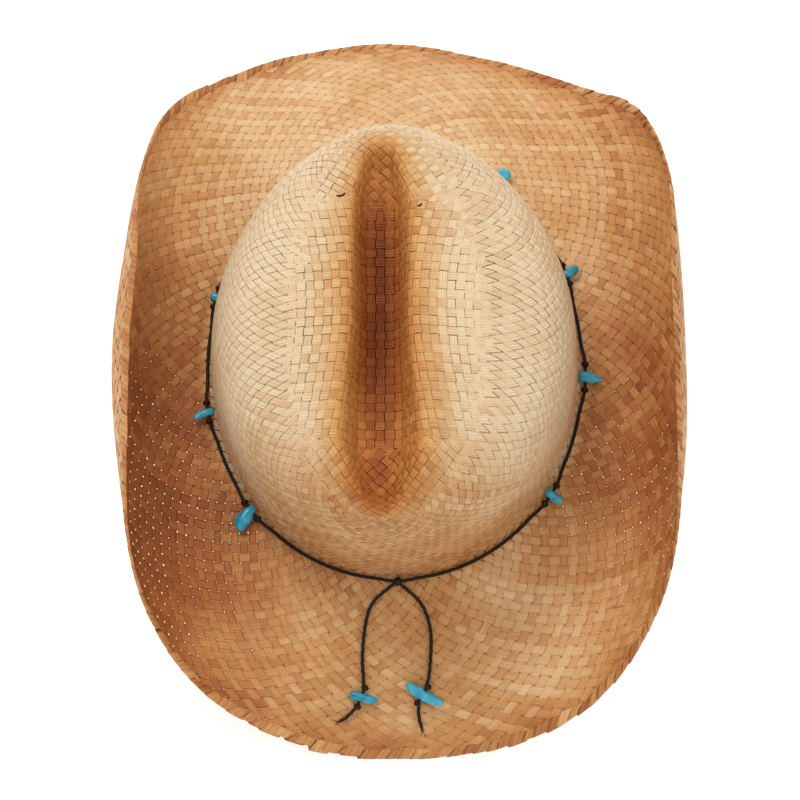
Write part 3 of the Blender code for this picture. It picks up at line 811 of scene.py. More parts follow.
def tube(points, radius, up, closed, sides):
    """A round strand along its middle points. Its radius may be one number, one a point, or one for
    each point of each section, which starts at the side square to up."""
    if closed:
        tangent = unit(np.roll(points, -1, axis=0) - np.roll(points, 1, axis=0))
    else:
        tangent = unit(np.gradient(points, axis=0))
    side = unit(np.cross(up, tangent))
    normal = np.cross(tangent, side)
    turn = turns(sides)
    section = normal[:, None] * np.sin(turn)[:, None] - side[:, None] * np.cos(turn)[:, None]
    radius = np.asarray(radius, float)
    if radius.ndim < 2:
        radius = radius.reshape(-1, 1)
    uv = np.stack(np.broadcast_arrays(running_length(points)[:, None], np.cos(turn)), -1)
    rings = points[:, None] + section * (radius * np.ones((len(points), sides)))[..., None]
    return {"points": rings, "closed": closed, "uv": uv}


def marked(strand, **values):
    """A strand with attributes: one value for all its points, or one for each section."""
    shape = np.ones(strand["points"].shape[:2])
    for name, value in values.items():
        strand[name] = value * shape
    return strand


def skin(name, strands, material):
    """All strands of a piece as one mesh. Their sections are joined by quads round and along, and
    quads close the ends of an open strand."""
    faces = []
    start = 0
    for strand in strands:
        count, sides = strand["points"].shape[:2]
        closed = strand.get("closed", False)
        spans = np.arange(count if closed else count - 1)
        i, j = np.meshgrid(spans, np.arange(sides), indexing="ij")
        n, k = (i + 1) % count, (j + 1) % sides
        quads = np.stack([i * sides + j, n * sides + j, n * sides + k, i * sides + k], -1)
        faces.append(quads.reshape(-1, 4) + start)
        if not closed:
            fan = np.array([[0, m, m + 1, m + 2] for m in range(1, sides - 1, 2)])
            faces += [fan + start, fan[:, ::-1] + start + (count - 1) * sides]
        start += count * sides
    faces = np.concatenate(faces)
    keys = [key for key in strands[0] if key != "closed"]
    stacked = {key: np.concatenate([s[key].reshape(-1, *s[key].shape[2:]) for s in strands])
               for key in keys}
    made = quad_object(name, stacked.pop("points"), faces, material)
    uv_layer = made.data.uv_layers.new(name="along_and_across")
    uv_layer.uv.foreach_set("vector", stacked.pop("uv")[faces.ravel()].astype(np.float32).ravel())
    for key, values in stacked.items():
        attribute = made.data.attributes.new(key, "FLOAT", "POINT")
        attribute.data.foreach_set("value", values.astype(np.float32))
    return made


def quad_object(name, points, faces, material):
    """A smooth object of quads."""
    mesh = bpy.data.meshes.new(name)
    mesh.vertices.add(len(points))
    mesh.vertices.foreach_set("co", points.astype(np.float32).ravel())
    mesh.loops.add(faces.size)
    mesh.loops.foreach_set("vertex_index", faces.astype(np.int32).ravel())
    mesh.polygons.add(len(faces))
    mesh.polygons.foreach_set("loop_start", np.arange(len(faces), dtype=np.int32) * faces.shape[1])
    mesh.update(calc_edges=True)
    mesh.shade_smooth()
    mesh.materials.append(material)
    made = bpy.data.objects.new(name, mesh)
    bpy.context.scene.collection.objects.link(made)
    return made


def dress(piece, slot, *nodes):
    """Makes a piece ride on the hat's one body in place of its solids."""
    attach(piece, "root")
    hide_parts(*nodes)
    return piece


# Shaders

class Number:
    """A shader's number socket that can stand in sums, such as 1 - mask * 0.5."""

    def __init__(self, board, socket):
        self.board = board
        self.socket = socket

    def math(self, operation, first, second):
        """A Math node on two numbers."""
        return self.board.node("ShaderNodeMath", {"operation": operation}, {0: first, 1: second})

    def __add__(self, other):
        return self.math("ADD", self, other)

    def __sub__(self, other):
        return self.math("SUBTRACT", self, other)

    def __rsub__(self, other):
        return self.math("SUBTRACT", other, self)

    def __mul__(self, other):
        return self.math("MULTIPLY", self, other)

    __radd__ = __add__
    __rmul__ = __mul__

    def held(self):
        """The number kept between 0 and 1."""
        return self.board.node("ShaderNodeClamp", {}, {0: self})


class Board:
    """A material and the one way to add nodes to it."""

    def __init__(self, name):
        self.material = bpy.data.materials.new(name)
        self.material.use_nodes = True
        self.tree = self.material.node_tree
        self.shader = self.tree.nodes["Principled BSDF"]

    def feed(self, socket, value):
        """Links a number to a socket, or sets the socket's own value."""
        if isinstance(value, Number):
            self.tree.links.new(value.socket, socket)
        else:
            socket.default_value = value

    def node(self, kind, settings, values, output=0):
        """Adds a node: its settings first, then the values or links of its sockets."""
        made = self.tree.nodes.new(kind)
        for key, value in settings.items():
            if key == "stops":
                while len(made.color_ramp.elements) < len(value):
                    made.color_ramp.elements.new(0.5)
                for element, (place, colour) in zip(made.color_ramp.elements, value):
                    element.position = place
                    element.color = colour
            else:
                setattr(made, key, value)
        for key, value in values.items():
            self.feed(made.inputs[key], value)
        return Number(self, made.outputs[output])

    def along_and_across(self):
        """The two coordinates of a strand's own UV map."""
        uv = self.node("ShaderNodeUVMap", {"uv_map": "along_and_across"}, {})
        parts = self.tree.nodes.new("ShaderNodeSeparateXYZ")
        self.feed(parts.inputs[0], uv)
        return Number(self, parts.outputs[0]), Number(self, parts.outputs[1])

    def attribute(self, name):
        """A value that the mesh carries at its points."""
        return self.node("ShaderNodeAttribute", {"attribute_name": name}, {}, "Fac")

    def place(self):
        """The place on the piece in metres."""
        return self.node("ShaderNodeTexCoord", {}, {}, "Object")

    def noise(self, vector, scale, detail, output="Fac"):
        """Noise round 0.5."""
        values = {"Vector": vector, "Scale": scale, "Detail": detail}
        return self.node("ShaderNodeTexNoise", {}, values, output)

    def ramp(self, stops, value):
        """A colour that follows a value through stops."""
        return self.node("ShaderNodeValToRGB", {"stops": stops}, {0: value})

    def bump(self, strength, distance, height):
        """A relief that the normal follows, its distance in metres."""
        return self.node("ShaderNodeBump", {}, {
            "Strength": strength, "Distance": distance, "Height": height})

    def mix(self, factor, first, second, blend="MIX"):
        """Two colours or vectors blended by a factor."""
        return self.node("ShaderNodeMix", {"data_type": "RGBA", "blend_type": blend},
                         {0: factor, 6: first, 7: second}, 2)

    def vector(self, x, y, z):
        """A vector of three numbers."""
        return self.node("ShaderNodeCombineXYZ", {}, {0: x, 1: y, 2: z})

    def finish(self, **sockets):
        """Feeds the shader's sockets by name, with underscores for spaces."""
        for key, value in sockets.items():
            self.feed(self.shader.inputs[key.replace("_", " ")], value)
        return self.material


def hex_colour(text):
    """A web colour as linear numbers with alpha."""
    levels = [int(text[i:i + 2], 16) / 255 for i in (0, 2, 4)]
    return (*[v / 12.92 if v < 0.04045 else ((v + 0.055) / 1.055) ** 2.4 for v in levels], 1.0)


def straw_material(settings):
    """Raffia strips: the dye sets a colour from bleached to burnt, each strip has a tone and long
    fibres of its own, ribs run along it, and blotches run over several strips."""
    board = Board("raffia_straw")
    along, across = board.along_and_across()
    strip = board.attribute("strip")
    crown = board.attribute("crown")

    def streaks(stretch, seeds, detail):
        """Noise drawn out along a strip, other on every strip."""
        x, y, z = along * stretch[0], across * stretch[1] + strip * seeds[0], strip * seeds[1]
        return board.noise(board.vector(x, y, z), 1.0, detail)

    fibres = streaks((60.0, 3.4), (83.0, 47.0), 3.0)
    grain = streaks((150.0, 11.0), (31.0, 19.0), 2.0)
    blotches = board.noise(board.place(), 30.0, 3.0)
    ribs = board.node("ShaderNodeMath", {"operation": "COSINE"}, {0: across * 9.6 + strip * 3.0})
    depth = board.attribute("dye") + board.attribute("tone") * 0.036 + (blotches - 0.5) * 0.32
    depth = depth + (fibres - 0.5) * 0.24 + (grain - 0.5) * 0.12 - ribs * (crown * 0.022 + 0.008)
    colour = board.ramp((
        (0.0, (*settings.straw_pale, 1.0)),
        (0.18, hex_colour("E0BB8D")),
        (0.36, hex_colour("CB965F")),
        (0.56, hex_colour("AB6B3B")),
        (0.78, hex_colour("834519")),
        (1.0, (*settings.straw_brown, 1.0)),
    ), depth.held())
    amber = (board.attribute("amber") * 0.55).held()
    warm = board.mix(amber, colour, (1.0, 0.78, 0.46, 1.0), "MULTIPLY")
    bump = board.bump(0.7, 0.00035, fibres * 0.5 + grain * 0.4 + ribs * (crown * 0.5 + 0.1))
    return board.finish(Base_Color=warm, Roughness=0.48 + grain * 0.2, Normal=bump,
                        Specular_IOR_Level=0.3)


def cord_material(settings):
    """Waxed cord, black-brown, with worn lighter threads."""
    board = Board("waxed_cord")
    along, across = board.along_and_across()
    threads = board.noise(board.vector(along * 900.0, across * 3.0, 0.0), 1.0, 3.0)
    wear = board.noise(board.place(), 90.0, 2.0)
    dark, worn = (*settings.cord_colour, 1.0), (0.035, 0.020, 0.013, 1.0)
    colour = board.ramp(((0.35, dark), (0.85, worn)), threads * 0.6 + wear * 0.4)
    bump = board.bump(0.4, 0.0001, threads)
    return board.finish(Base_Color=colour, Roughness=0.42 + wear * 0.25, Normal=bump,
                        Specular_IOR_Level=0.22)


def turquoise_material(settings):
    """Polished turquoise: clouds of lighter and greener blue, and a few thin brown veins."""
    board = Board("turquoise_stone")
    place = board.place()
    clouds = board.noise(place, 240.0, 4.0)
    deep, pale = hex_colour("167391"), hex_colour("3FB9CE")
    colour = board.ramp(((0.30, deep), (0.48, (*settings.turquoise, 1.0)), (0.70, pale)),
                        clouds + board.attribute("tone") * 0.05)
    bent_place = board.mix(0.004, place, board.noise(place, 180.0, 3.0, "Color"), "ADD")
    cracks = board.node("ShaderNodeTexVoronoi", {"feature": "DISTANCE_TO_EDGE"},
                        {"Vector": bent_place, "Scale": 130.0})
    veins = (1.0 - cracks * 28.0).held() * (board.noise(place, 150.0, 2.0) * 2.6 - 1.1).held()
    stone = board.mix(veins * 0.75, colour, hex_colour("4A3A2C"))
    return board.finish(Base_Color=stone, Roughness=0.30 + veins * 0.4, Coat_Weight=0.25,
                        Coat_Roughness=0.10)


# Straw pieces

def straw_pieces(settings, seat):
    """The woven strips of walls, brim and top as a few pieces of under 200,000 triangles. A zone of
    the top has its two ends in metres along the hat, its pitch and its turn."""
    rng = np.random.default_rng(11)
    material = straw_material(settings)
    spiral = SpiralWeave(settings, seat)
    groups = {}
    for family, number, *reach in spiral.strips(rng):
        name = f"{'right' if family > 0 else 'left'}_hand_strips_{1 + (number % 2)}"
        strand = strip_mesh(spiral, settings, family, number, *reach, rng)
        groups.setdefault(name, []).append(strand)
    zones = {
        "crown_top_strips": ((-0.062, 0.050), 0.0042, 0.0),
        "crown_back_top_strips": ((0.050, 0.140), 0.0041, math.pi / 4),
        "crown_front_top_strips": ((-0.160, -0.062), 0.0041, math.pi / 4),
    }
    for name, zone in zones.items():
        weave = TopWeave(settings, seat, *zone)
        groups[name] = [strip_mesh(weave, settings, *strip, rng) for strip in weave.strips(rng)]
    for name, strands in groups.items():
        dress(skin(name, strands, material), "straw", "woven_body")


def rim_strands(weave, settings, rng):
    """The brim's self-edge: strips that run slanted from above round the edge and on below it. Each
    lies with one side on the strip before it, and their ends tuck in under the weave. t goes from
    -1 below the brim to 1 above it, and turn is the way round the edge."""
    t = np.linspace(-1, 1, 15)
    turn = np.clip(t / RIM_TURN, -1, 1) * math.pi / 2
    flat = np.maximum(np.abs(t) - RIM_TURN, 0) / (1 - RIM_TURN)
    rise = RIM_HEIGHT * np.sin(turn) - RIM_TUCK * np.sign(t) * smooth(flat, 0.65, 1.0)
    body = RIM_HALF_THICK * SECTION_UP + RIM_LAP * RIM_ACROSS
    edge = weave.points[-1]
    edge_length = np.linalg.norm(np.roll(edge, -1, axis=0) - edge, axis=1).sum()
    outward = np.repeat(unit(edge - weave.points[-4])[None], 2, axis=0)
    pitch = weave.COLUMNS / settings.wraps
    strands = []
    for number in range(settings.wraps):
        inward = (RIM_REACH + 0.0007 * rng.normal()) * flat
        inward -= (RIM_OUT + 0.0003 * rng.normal()) * np.cos(turn)
        slant = (RIM_SLANT + 0.0006 * rng.normal()) / edge_length * weave.COLUMNS
        half = pitch * rng.uniform(0.66, 0.84)
        middle = (number + 0.12 * rng.normal()) * pitch + slant * t
        middle = middle + 0.1 * pitch * rng.normal() * t * t
        column = middle[:, None] - half * RIM_ACROSS
        inward = inward[:, None] + np.zeros_like(column)
        row = np.interp(weave.walk[-1] - inward, weave.walk, np.arange(len(weave.walk)))
        away = weave.read(outward, np.zeros_like(column), column)
        normal = weave.read(weave.normals, row, column)
        base = weave.read(weave.points, row, column) + away * np.maximum(-inward, 0)[..., None]
        local = normal * np.sin(turn)[:, None, None] + away * np.cos(turn)[:, None, None]
        points = base + normal * rise[:, None, None] + local * body[None, :, None]
        uv = np.stack(np.broadcast_arrays(running_length(points[:, 1])[:, None], RIM_ACROSS), -1)
        strands.append(marked(
            {"points": points, "uv": uv}, dye=RIM_DYE + 0.06 * rng.normal(), amber=RIM_AMBER,
            tone=rng.normal(), strip=rng.uniform(), crown=1.0))
    return strands


def notch_shade_strands(settings, seat):
    """Painted shade of the gaps at broken strips in the crown's top: short curved lenses of the
    darkest dye that lie half sunk.
    """
    tree = body_tree()
    down = seat.to_3x3() @ Vector((0, 0, -1))
    t = np.linspace(-1, 1, 9)
    thick = 0.0006 * np.sqrt(1.02 - t * t)
    strands = []
    for x, y, way, length in SHADED_NOTCHES:
        turn = math.radians(way) + 0.5 * t
        points = []
        for ahead, aside in zip(np.cos(turn) * t * length / 2, np.sin(turn) * t * length / 2):
            over = seat @ Vector((x + ahead, y + aside, 2 * settings.crown_height))
            place, _, _, _ = tree.ray_cast(over, down)
            points.append(np.array(place))
        # Painted shade: the darkest dye stands for the shade seen inside the broken strips' gaps.
        strands.append(marked(
            tube(np.array(points), thick, UP, False, 8),
            dye=1.0, amber=0.6, tone=1.0, strip=0.3, crown=1.0))
    return strands


def fibre_strands(weave, rng):
    """Loose fibres that stand off the straw, most of them beside the crown at the front left. Each
    is a curve whose direction turns evenly and whose far end lifts by the square of the way."""
    round_brim = 0.75
    t = np.linspace(0, 1, 9)
    strands = []
    for number in range(FIBRES):
        in_front = number < FRONT_FIBRES
        if in_front:
            degrees, out = rng.normal(222, 3.0), rng.uniform(0.006, 0.022)
        else:
            degrees, out = rng.uniform(0, 360), rng.uniform(-0.05, 0.08)
        way = rng.uniform(0, math.tau)
        length = rng.uniform(0.008, 0.016) if in_front else rng.uniform(0.004, 0.012)
        sway = rng.normal() * 0.5
        ahead = np.cumsum(np.cos(way + sway * t)) / len(t) * length
        aside = np.cumsum(np.sin(way + sway * t)) / len(t) * length
        row = np.interp(out + ahead, weave.walk, np.arange(len(weave.walk)))
        column = (degrees / 360 + aside / round_brim) * weave.COLUMNS
        lift = 0.0003 + rng.uniform(0.0003, 0.0016) * t * t
        points = weave.read(weave.points, row, column)
        points = points + weave.read(weave.normals, row, column) * lift[:, None]
        strands.append(marked(
            tube(points, FIBRE_RADIUS * (1.15 - t), UP, False, 6),
            dye=rng.uniform(-0.1, 0.2), amber=0.3, tone=0.0, strip=rng.uniform(), crown=1.0))
    return strands


# Cord and chips

def crown_frame(sizes, angle, row):
    """A point of the crown and its outward unit normal, by small steps in both directions."""
    step = 1e-4
    point = crown_point(sizes, angle, row)
    along = crown_point(sizes, angle + step, row) - crown_point(sizes, angle - step, row)
    down = crown_point(sizes, angle, row - step) - crown_point(sizes, angle, row + step)
    return point, unit(np.cross(down, along))


def band_route(sizes, angle):
    """The middle of the band's cord round the crown's foot. It stands off by a chip's inner end or
    half a knot where one is strung on it, and closes up beside them in a smooth half wave."""
    point, normal = crown_frame(sizes, angle, np.full_like(angle, BAND_ROW))
    off = np.full_like(angle, sizes.cord_diameter / 2 + LAY_GAP)
    humps = [(math.radians(from_x), inner, (width / 2 + FIT_GAP) / (sizes.head_width / 2))
             for from_x, _, width, _, inner, *_ in BAND_CHIPS.values()]
    humps.append((TIE_FROM_X, sizes.tie_knot_diameter / 2, 0))
    for place, radius, flat in humps:
        away = np.abs((angle - place + math.pi) % math.tau - math.pi)
        away = np.clip((away - flat) / BUMP_SPREAD, 0, 1)
        off += (1 + np.cos(math.pi * away)) / 2 * (radius - sizes.cord_diameter / 2)
    return point + normal * off[..., None]


def band_arc(sizes, angle):
    """How far the band's cord runs for one radian at an angle."""
    step = 1e-3
    ends = band_route(sizes, np.array([angle - step, angle + step]))
    return np.linalg.norm(ends[1] - ends[0]) / (2 * step)

class Strung:
    """Where the cord's two ends and every chip on the cord lie, in the hat's frame."""

    # Points of a tie's smooth line, and how many beside each its three running means take in.
    STEPS = 170
    SMOOTHED = 9

    def __init__(self, sizes, seat):
        self.sizes = sizes
        self.seat = seat
        self.tree = body_tree()
        self.start = placed(band_route(sizes, np.array([TIE_FROM_X])), seat)[0]
        self.ties = {"left": self.laid(TIE_LEFT), "right": self.laid(TIE_RIGHT)}

    def laid(self, route):
        """A tie's points: it leaves the tie knot's middle, and each further point is lifted square
        from the straw under it."""
        foot = self.sizes.head_length / 2 * crown_column(0, "front")
        down = self.seat.to_3x3() @ Vector((0, 0, -1))
        points = [self.start]
        for x, out, lift in route:
            over = self.seat @ Vector((x, -foot - out, self.sizes.crown_height))
            place, normal, _, _ = self.tree.ray_cast(over, down)
            points.append(np.array(place + normal * (lift * self.sizes.cord_diameter)))
        return np.array(points)

    def tie_line(self, tie, straight):
        """A tie as a fine smooth line that is straight from one of its points to the next."""
        points = self.ties[tie]
        length = running_length(points)
        even = np.linspace(0, length[-1], self.STEPS)
        line = np.stack([through(even, length, points[:, axis]) for axis in range(3)], -1)
        beside = self.SMOOTHED
        for _ in range(3):
            shifted = [line[beside + i:len(line) - beside + i] for i in range(-beside, beside + 1)]
            line[beside:-beside] = sum(shifted) / len(shifted)
        part = (even - length[straight]) / (length[straight + 1] - length[straight])
        chord = points[straight] + (points[straight + 1] - points[straight]) * part[:, None]
        return np.where(((part > 0) & (part < 1))[:, None], chord, line)

    def band_chip(self, name):
        """Matrix of a band chip, with X out over the brim and Y along the cord, and the places and
        direction of the knots beside it."""
        from_x, length, width, *_ = BAND_CHIPS[name]
        middle = math.radians(from_x)
        arc = band_arc(self.sizes, middle)
        half = (width / 2 + FIT_GAP) / arc
        reach = half + self.sizes.knot_diameter / 2 / arc
        beside = middle + np.array([-half, half, -reach, reach])
        ends = placed(band_route(self.sizes, beside), self.seat)
        foot = crown_point(self.sizes, np.array([middle]), np.array([0.0]))
        share = length / self.sizes.brim_width
        over = brim_point(self.sizes, np.array([middle]), np.array([share]))
        out = turned((over - foot)[0], self.seat)
        along = ends[1] - ends[0]
        return self.axes((ends[0] + ends[1]) / 2, out, along), ends[2:], unit(along)

    def tie_chip(self, name):
        """The same of a chip on a tie end, turned about its hole."""
        tie, first, _, width, *_, turn = TIE_CHIPS[name]
        start, end = self.ties[tie][first:first + 2]
        middle = (start + end) / 2
        along = unit(end - start)
        _, normal, _, _ = self.tree.find_nearest(Vector(middle))
        matrix = self.axes(middle, np.cross(np.array(normal), along), along)
        matrix = matrix @ np.array(Matrix.Rotation(math.radians(90 - turn), 4, "Z"))
        knots = middle + np.array([[-1], [1]]) * along * (
            width / 2 + FIT_GAP + self.sizes.knot_diameter / 2)
        return matrix, knots, along

    @staticmethod
    def axes(place, out, along):
        """A matrix at a place whose X points out and whose Y runs along the cord."""
        y = unit(along)
        x = unit(out - y * np.dot(out, y))
        made = np.eye(4)
        made[:3] = np.stack([x, y, np.cross(x, y), place], -1)
        return made

    def all_chips(self):
        """Name, sizes, matrix, knots' places and the cord's direction of every chip."""
        for name, (_, *sizes) in BAND_CHIPS.items():
            yield name, sizes, *self.band_chip(name)
        for name, (_, _, *sizes, _) in TIE_CHIPS.items():
            yield name, sizes, *self.tie_chip(name)


def knot_strand(place, along, diameter, wide=1.0):
    """An overhand knot: a trefoil whose axis is the cord, thick enough to close its own loops. Its
    middle line reaches 3 units from the axis."""
    t = turns(54)
    shape = np.stack([np.sin(t) + 2 * np.sin(2 * t), np.cos(t) - 2 * np.cos(2 * t),
                      -1.25 * wide * np.sin(3 * t)], -1)
    thick = 0.24 * diameter
    x = unit(np.cross(along, UP))
    axes = np.stack([x, np.cross(along, x), along])
    return tube(place + shape @ axes * ((diameter / 2 - thick) / 3), thick, along, True, 8)


def plied(line, radius, closed):
    """A cord of plies: its radius swells along the threads of a screw. A closed one has whole
    turns."""
    sides = 12
    length = running_length(line)
    screws = round((length[-1] + (length[-1] - length[-2] if closed else 0)) / PLY_SCREW)
    way = length / length[-1] * (1 - 1 / len(line) if closed else 1)
    phase = way * screws * math.tau
    swell = 1 + PLY_SWELL * np.cos(PLIES * turns(sides)[None, :] - phase[:, None])
    return tube(line, radius * PLY_RADIUS * swell, UP, closed, sides)


def cord_strands(strung, settings, rng):
    """The loop round the crown, its two ends with their frayed tips, and all knots."""
    radius = settings.cord_diameter / 2
    t = np.linspace(0, 1, 7)[:, None]
    strands = [plied(placed(band_route(settings, turns(960)), strung.seat), radius, True)]
    for tie, first, *_ in TIE_CHIPS.values():
        line = strung.tie_line(tie, first)
        strands.append(plied(line, radius, False))
        tip = unit(line[-1] - line[-3])
        for _ in range(TIP_THREADS):
            spread = tip + 0.45 * rng.normal(size=3) * np.array([1.0, 1.0, 0.3])
            bent = line[-2] + (tip * (1 - t) + spread * t) * t * rng.uniform(0.0016, 0.0036)
            strands.append(tube(bent, 0.00026 * (1.2 - t[:, 0]), UP, False, 6))
    for _, _, _, knots, along in strung.all_chips():
        for place in knots:
            strands.append(knot_strand(place, along, 1.12 * settings.knot_diameter))
    across, out = np.array([1.0, 0.0, 0.0]), unit(np.array([0.25, 1.0, 0.1]))
    strands.append(knot_strand(strung.start, across, settings.tie_knot_diameter, 1.3))
    strands.append(knot_strand(strung.start, out, settings.tie_knot_diameter * 0.86))
    return strands


def chip_strand(sizes, matrix, rng):
    """A polished chip: a ball stretched to its three sizes, full at its ends, its outer end narrowed
    by the taper and curved along the cord by the bend, with slow lumps and a dip at its hole."""
    length, width, thick, inner, taper, bend = sizes
    pole, fullness, dip_depth, dip_radius = 0.10, 0.35, 0.22, 0.0011
    x = -np.cos(np.linspace(pole, math.pi - pole, 40))[:, None]
    turn = turns(32)[None, :]
    around = np.sqrt(1 - x * x)
    share = (x + 1) / 2
    narrow = around / np.maximum(around, fullness) ** fullness * (1 - taper * share)
    phase = rng.uniform(0, math.tau, size=4)
    lumps = 1 + 0.035 * np.sin(2 * turn + phase[0] + 1.7 * x)
    lumps = lumps + 0.025 * np.sin(3 * turn - 2.6 * x + phase[1])
    lumps = lumps + 0.03 * np.sin(4.2 * x + phase[2] + turn)
    out = x * length / 2 + length / 2 - inner + 0 * turn
    along = -np.cos(turn) * narrow * lumps * width / 2
    up = np.sin(turn) * narrow * lumps * thick / 2
    dip = dip_depth * np.exp(-(out ** 2 + up ** 2) / dip_radius ** 2)
    along = along * (1 - dip) + bend * width * (share ** 2 - (inner / length) ** 2)
    points = np.stack([out, along, up], -1) @ matrix[:3, :3].T + matrix[:3, 3]
    uv = np.stack(np.broadcast_arrays(out, np.cos(turn)), -1)
    return marked({"points": points, "uv": uv}, tone=rng.normal())


# Operators

class STRAWHAT_OT_weave(bpy.types.Operator):
    """Weaves the hat's crown and brim from raffia strips"""

    bl_idname = "straw_hat.weave"
    bl_label = "Weave Crown and Brim"

    def execute(self, context):
        """Makes the pieces of strips."""
        settings = context.scene.straw_hat
        straw_pieces(settings, seat_matrix(settings))
        return {"FINISHED"}


class STRAWHAT_OT_rim(bpy.types.Operator):
    """Turns the straw round the brim's edge"""

    bl_idname = "straw_hat.rim"
    bl_label = "Turn the Rim"

    def execute(self, context):
        """Makes the rim's wraps."""
        settings = context.scene.straw_hat
        weave = SpiralWeave(settings, seat_matrix(settings))
        strands = rim_strands(weave, settings, np.random.default_rng(23))
        dress(skin("rim_wraps", strands, straw_material(settings)), "straw", "woven_body")
        return {"FINISHED"}


class STRAWHAT_OT_fibres(bpy.types.Operator):
    """Adds loose fibres that stand off the straw, and painted shade at broken strips"""

    bl_idname = "straw_hat.fibres"
    bl_label = "Fray Fibres"

    def execute(self, context):
        """Makes the loose fibres."""
        settings = context.scene.straw_hat
        seat = seat_matrix(settings)
        strands = fibre_strands(SpiralWeave(settings, seat), np.random.default_rng(7))
        strands += notch_shade_strands(settings, seat)
        dress(skin("loose_fibres", strands, straw_material(settings)), "straw", "woven_body")
        return {"FINISHED"}


class STRAWHAT_OT_cord(bpy.types.Operator):
    """Ties the waxed cord round the crown's foot"""

    bl_idname = "straw_hat.cord"
    bl_label = "Tie Cord Band"

    def execute(self, context):
        """Makes the cord with its knots."""
        settings = context.scene.straw_hat
        strung = Strung(settings, seat_matrix(settings))
        strands = cord_strands(strung, settings, np.random.default_rng(5))
        dress(skin("plied_cord", strands, cord_material(settings)), "waxed_cord", "band_cord")
        return {"FINISHED"}


class STRAWHAT_OT_chips(bpy.types.Operator):
    """Strings the turquoise chips on the cord"""

    bl_idname = "straw_hat.chips"
    bl_label = "String Chips"

    def execute(self, context):
        """Makes a polished chip in place of each bead."""
        settings = context.scene.straw_hat
        rng = np.random.default_rng(31)
        material = turquoise_material(settings)
        for name, sizes, matrix, _, _ in Strung(settings, seat_matrix(settings)).all_chips():
            chip = skin(f"polished_{name}", [chip_strand(sizes, matrix, rng)], material)
            dress(chip, "turquoise", name)
        return {"FINISHED"}


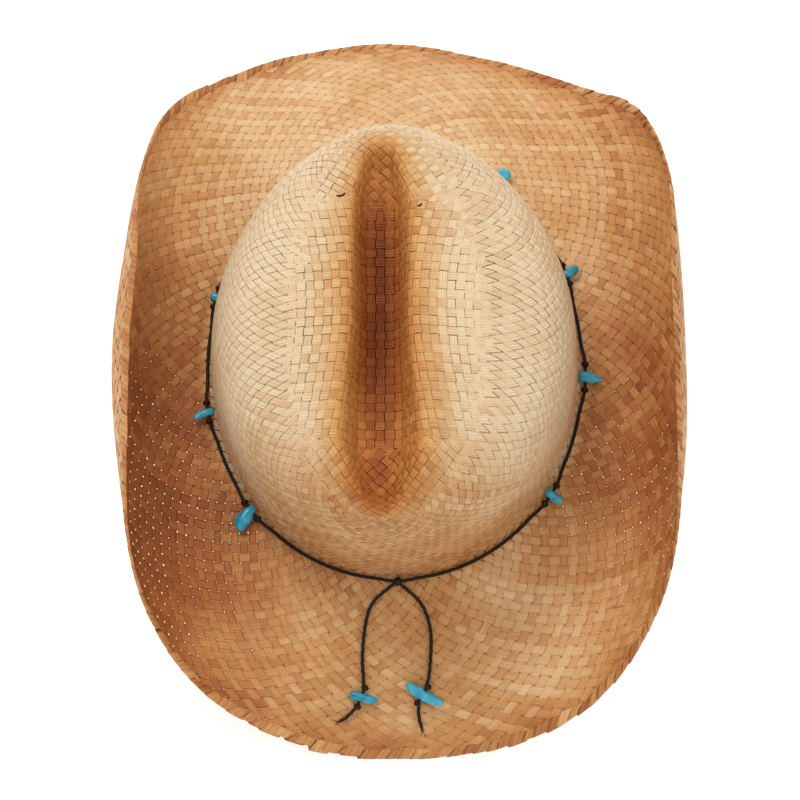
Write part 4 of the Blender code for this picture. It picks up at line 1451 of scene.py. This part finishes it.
class STRAWHAT_OT_stage(bpy.types.Operator):
    """Adds the floor, the lights and the camera"""

    bl_idname = "straw_hat.stage"
    bl_label = "Set the Stage"

    # The picture's side in pixels, metres a pixel at the head opening, where the opening's middle
    # lies in the picture, how high the camera looks over the opening's plane and how far away.
    PICTURE = 800
    METRES_A_PIXEL = 0.000475
    OPENING_AT = (395, 360)
    OVER_OPENING = math.radians(77)
    DISTANCE = 1.7

    # Half the floor's side, its grey and glow, the room's light, and each lamp's place, size and
    # power.
    FLOOR_REACH = 4.0
    FLOOR_GREY, FLOOR_GLOW = 0.80, 0.55
    ROOM_LIGHT = 0.69
    LAMPS = {
        "key": ((-0.5, 0.8, 1.8), 0.7, 14.5),
        "fill": ((0.9, -0.3, 1.7), 1.4, 5.0),
    }

    def execute(self, context):
        """Sets the hat's surroundings."""
        self.add_floor()
        self.add_lights(context)
        self.add_camera(context, seat_matrix(context.scene.straw_hat))
        return {"FINISHED"}

    def add_floor(self):
        """A pale floor that glows a little, so that it stays white round the hat's shadow."""
        reach = self.FLOOR_REACH
        points = np.array([[-reach, -reach, 0], [reach, -reach, 0], [reach, reach, 0],
                           [-reach, reach, 0]])
        board = Board("pale_floor")
        grey = (self.FLOOR_GREY, self.FLOOR_GREY, self.FLOOR_GREY, 1.0)
        board.finish(Base_Color=grey, Roughness=0.9, Emission_Color=(1.0, 1.0, 1.0, 1.0),
                     Emission_Strength=self.FLOOR_GLOW)
        quad_object("floor", points, np.array([[0, 1, 2, 3]]), board.material)

    def add_lights(self, context):
        """An even white room and two round lamps that look at the hat."""
        world = bpy.data.worlds.new("soft_room")
        world.use_nodes = True
        background = world.node_tree.nodes["Background"]
        background.inputs["Color"].default_value = (1.0, 1.0, 1.0, 1.0)
        background.inputs["Strength"].default_value = self.ROOM_LIGHT
        context.scene.world = world
        context.scene.view_settings.view_transform = "Standard"
        for name, (place, size, power) in self.LAMPS.items():
            light = bpy.data.lights.new(name, "AREA")
            light.shape = "DISK"
            light.size = size
            light.energy = power
            lamp = bpy.data.objects.new(name, light)
            lamp.location = place
            lamp.rotation_euler = (-Vector(place)).to_track_quat("-Z", "Y").to_euler()
            context.scene.collection.objects.link(lamp)

    def add_camera(self, context, seat):
        """A camera that sees the head opening's plane at its own scale, from over the front."""
        data = bpy.data.cameras.new("photo_camera")
        data.sensor_width = 36
        data.lens = data.sensor_width * self.DISTANCE / (self.PICTURE * self.METRES_A_PIXEL)
        data.clip_start = 0.05
        camera = bpy.data.objects.new("photo_camera", data)
        context.scene.collection.objects.link(camera)
        right = Vector((1, 0, 0))
        back = Vector((0, -math.cos(self.OVER_OPENING), math.sin(self.OVER_OPENING)))
        up = back.cross(right)
        aside = (self.PICTURE / 2 - self.OPENING_AT[0]) * self.METRES_A_PIXEL
        over = (self.OPENING_AT[1] - self.PICTURE / 2) * self.METRES_A_PIXEL
        place = right * aside + up * over + back * self.DISTANCE
        turned = Matrix((right, up, back)).transposed().to_4x4()
        camera.matrix_world = seat @ Matrix.Translation(place) @ turned
        context.scene.camera = camera

class STRAWHAT_PT_sidebar(bpy.types.Panel):
    """The hat's panel in the sidebar"""

    bl_label = "Straw Hat"
    bl_space_type = "VIEW_3D"
    bl_region_type = "UI"
    bl_category = "Straw Hat"

    def draw(self, context):
        """Lists the sizes and colours, then a button for each operator."""
        settings = context.scene.straw_hat
        for name in settings.__annotations__:
            self.layout.prop(settings, name)
        for operator in OPERATORS:
            self.layout.operator(operator.bl_idname)


OPERATORS = (STRAWHAT_OT_weave, STRAWHAT_OT_rim, STRAWHAT_OT_fibres, STRAWHAT_OT_cord,
             STRAWHAT_OT_chips, STRAWHAT_OT_stage)
CLASSES = (StrawHatSettings, *OPERATORS, STRAWHAT_PT_sidebar)


def register():
    """Makes the classes and the scene's settings known to Blender."""
    for cls in CLASSES:
        bpy.utils.register_class(cls)
    bpy.types.Scene.straw_hat = PointerProperty(type=StrawHatSettings)


def unregister():
    """Takes the settings and the classes away again."""
    del bpy.types.Scene.straw_hat
    for cls in reversed(CLASSES):
        bpy.utils.unregister_class(cls)


def main():
    """Makes all pieces and the stage."""
    register()
    bpy.ops.straw_hat.weave()
    bpy.ops.straw_hat.rim()
    bpy.ops.straw_hat.fibres()
    bpy.ops.straw_hat.cord()
    bpy.ops.straw_hat.chips()
    bpy.ops.straw_hat.stage()


if __name__ == "__main__":
    main()
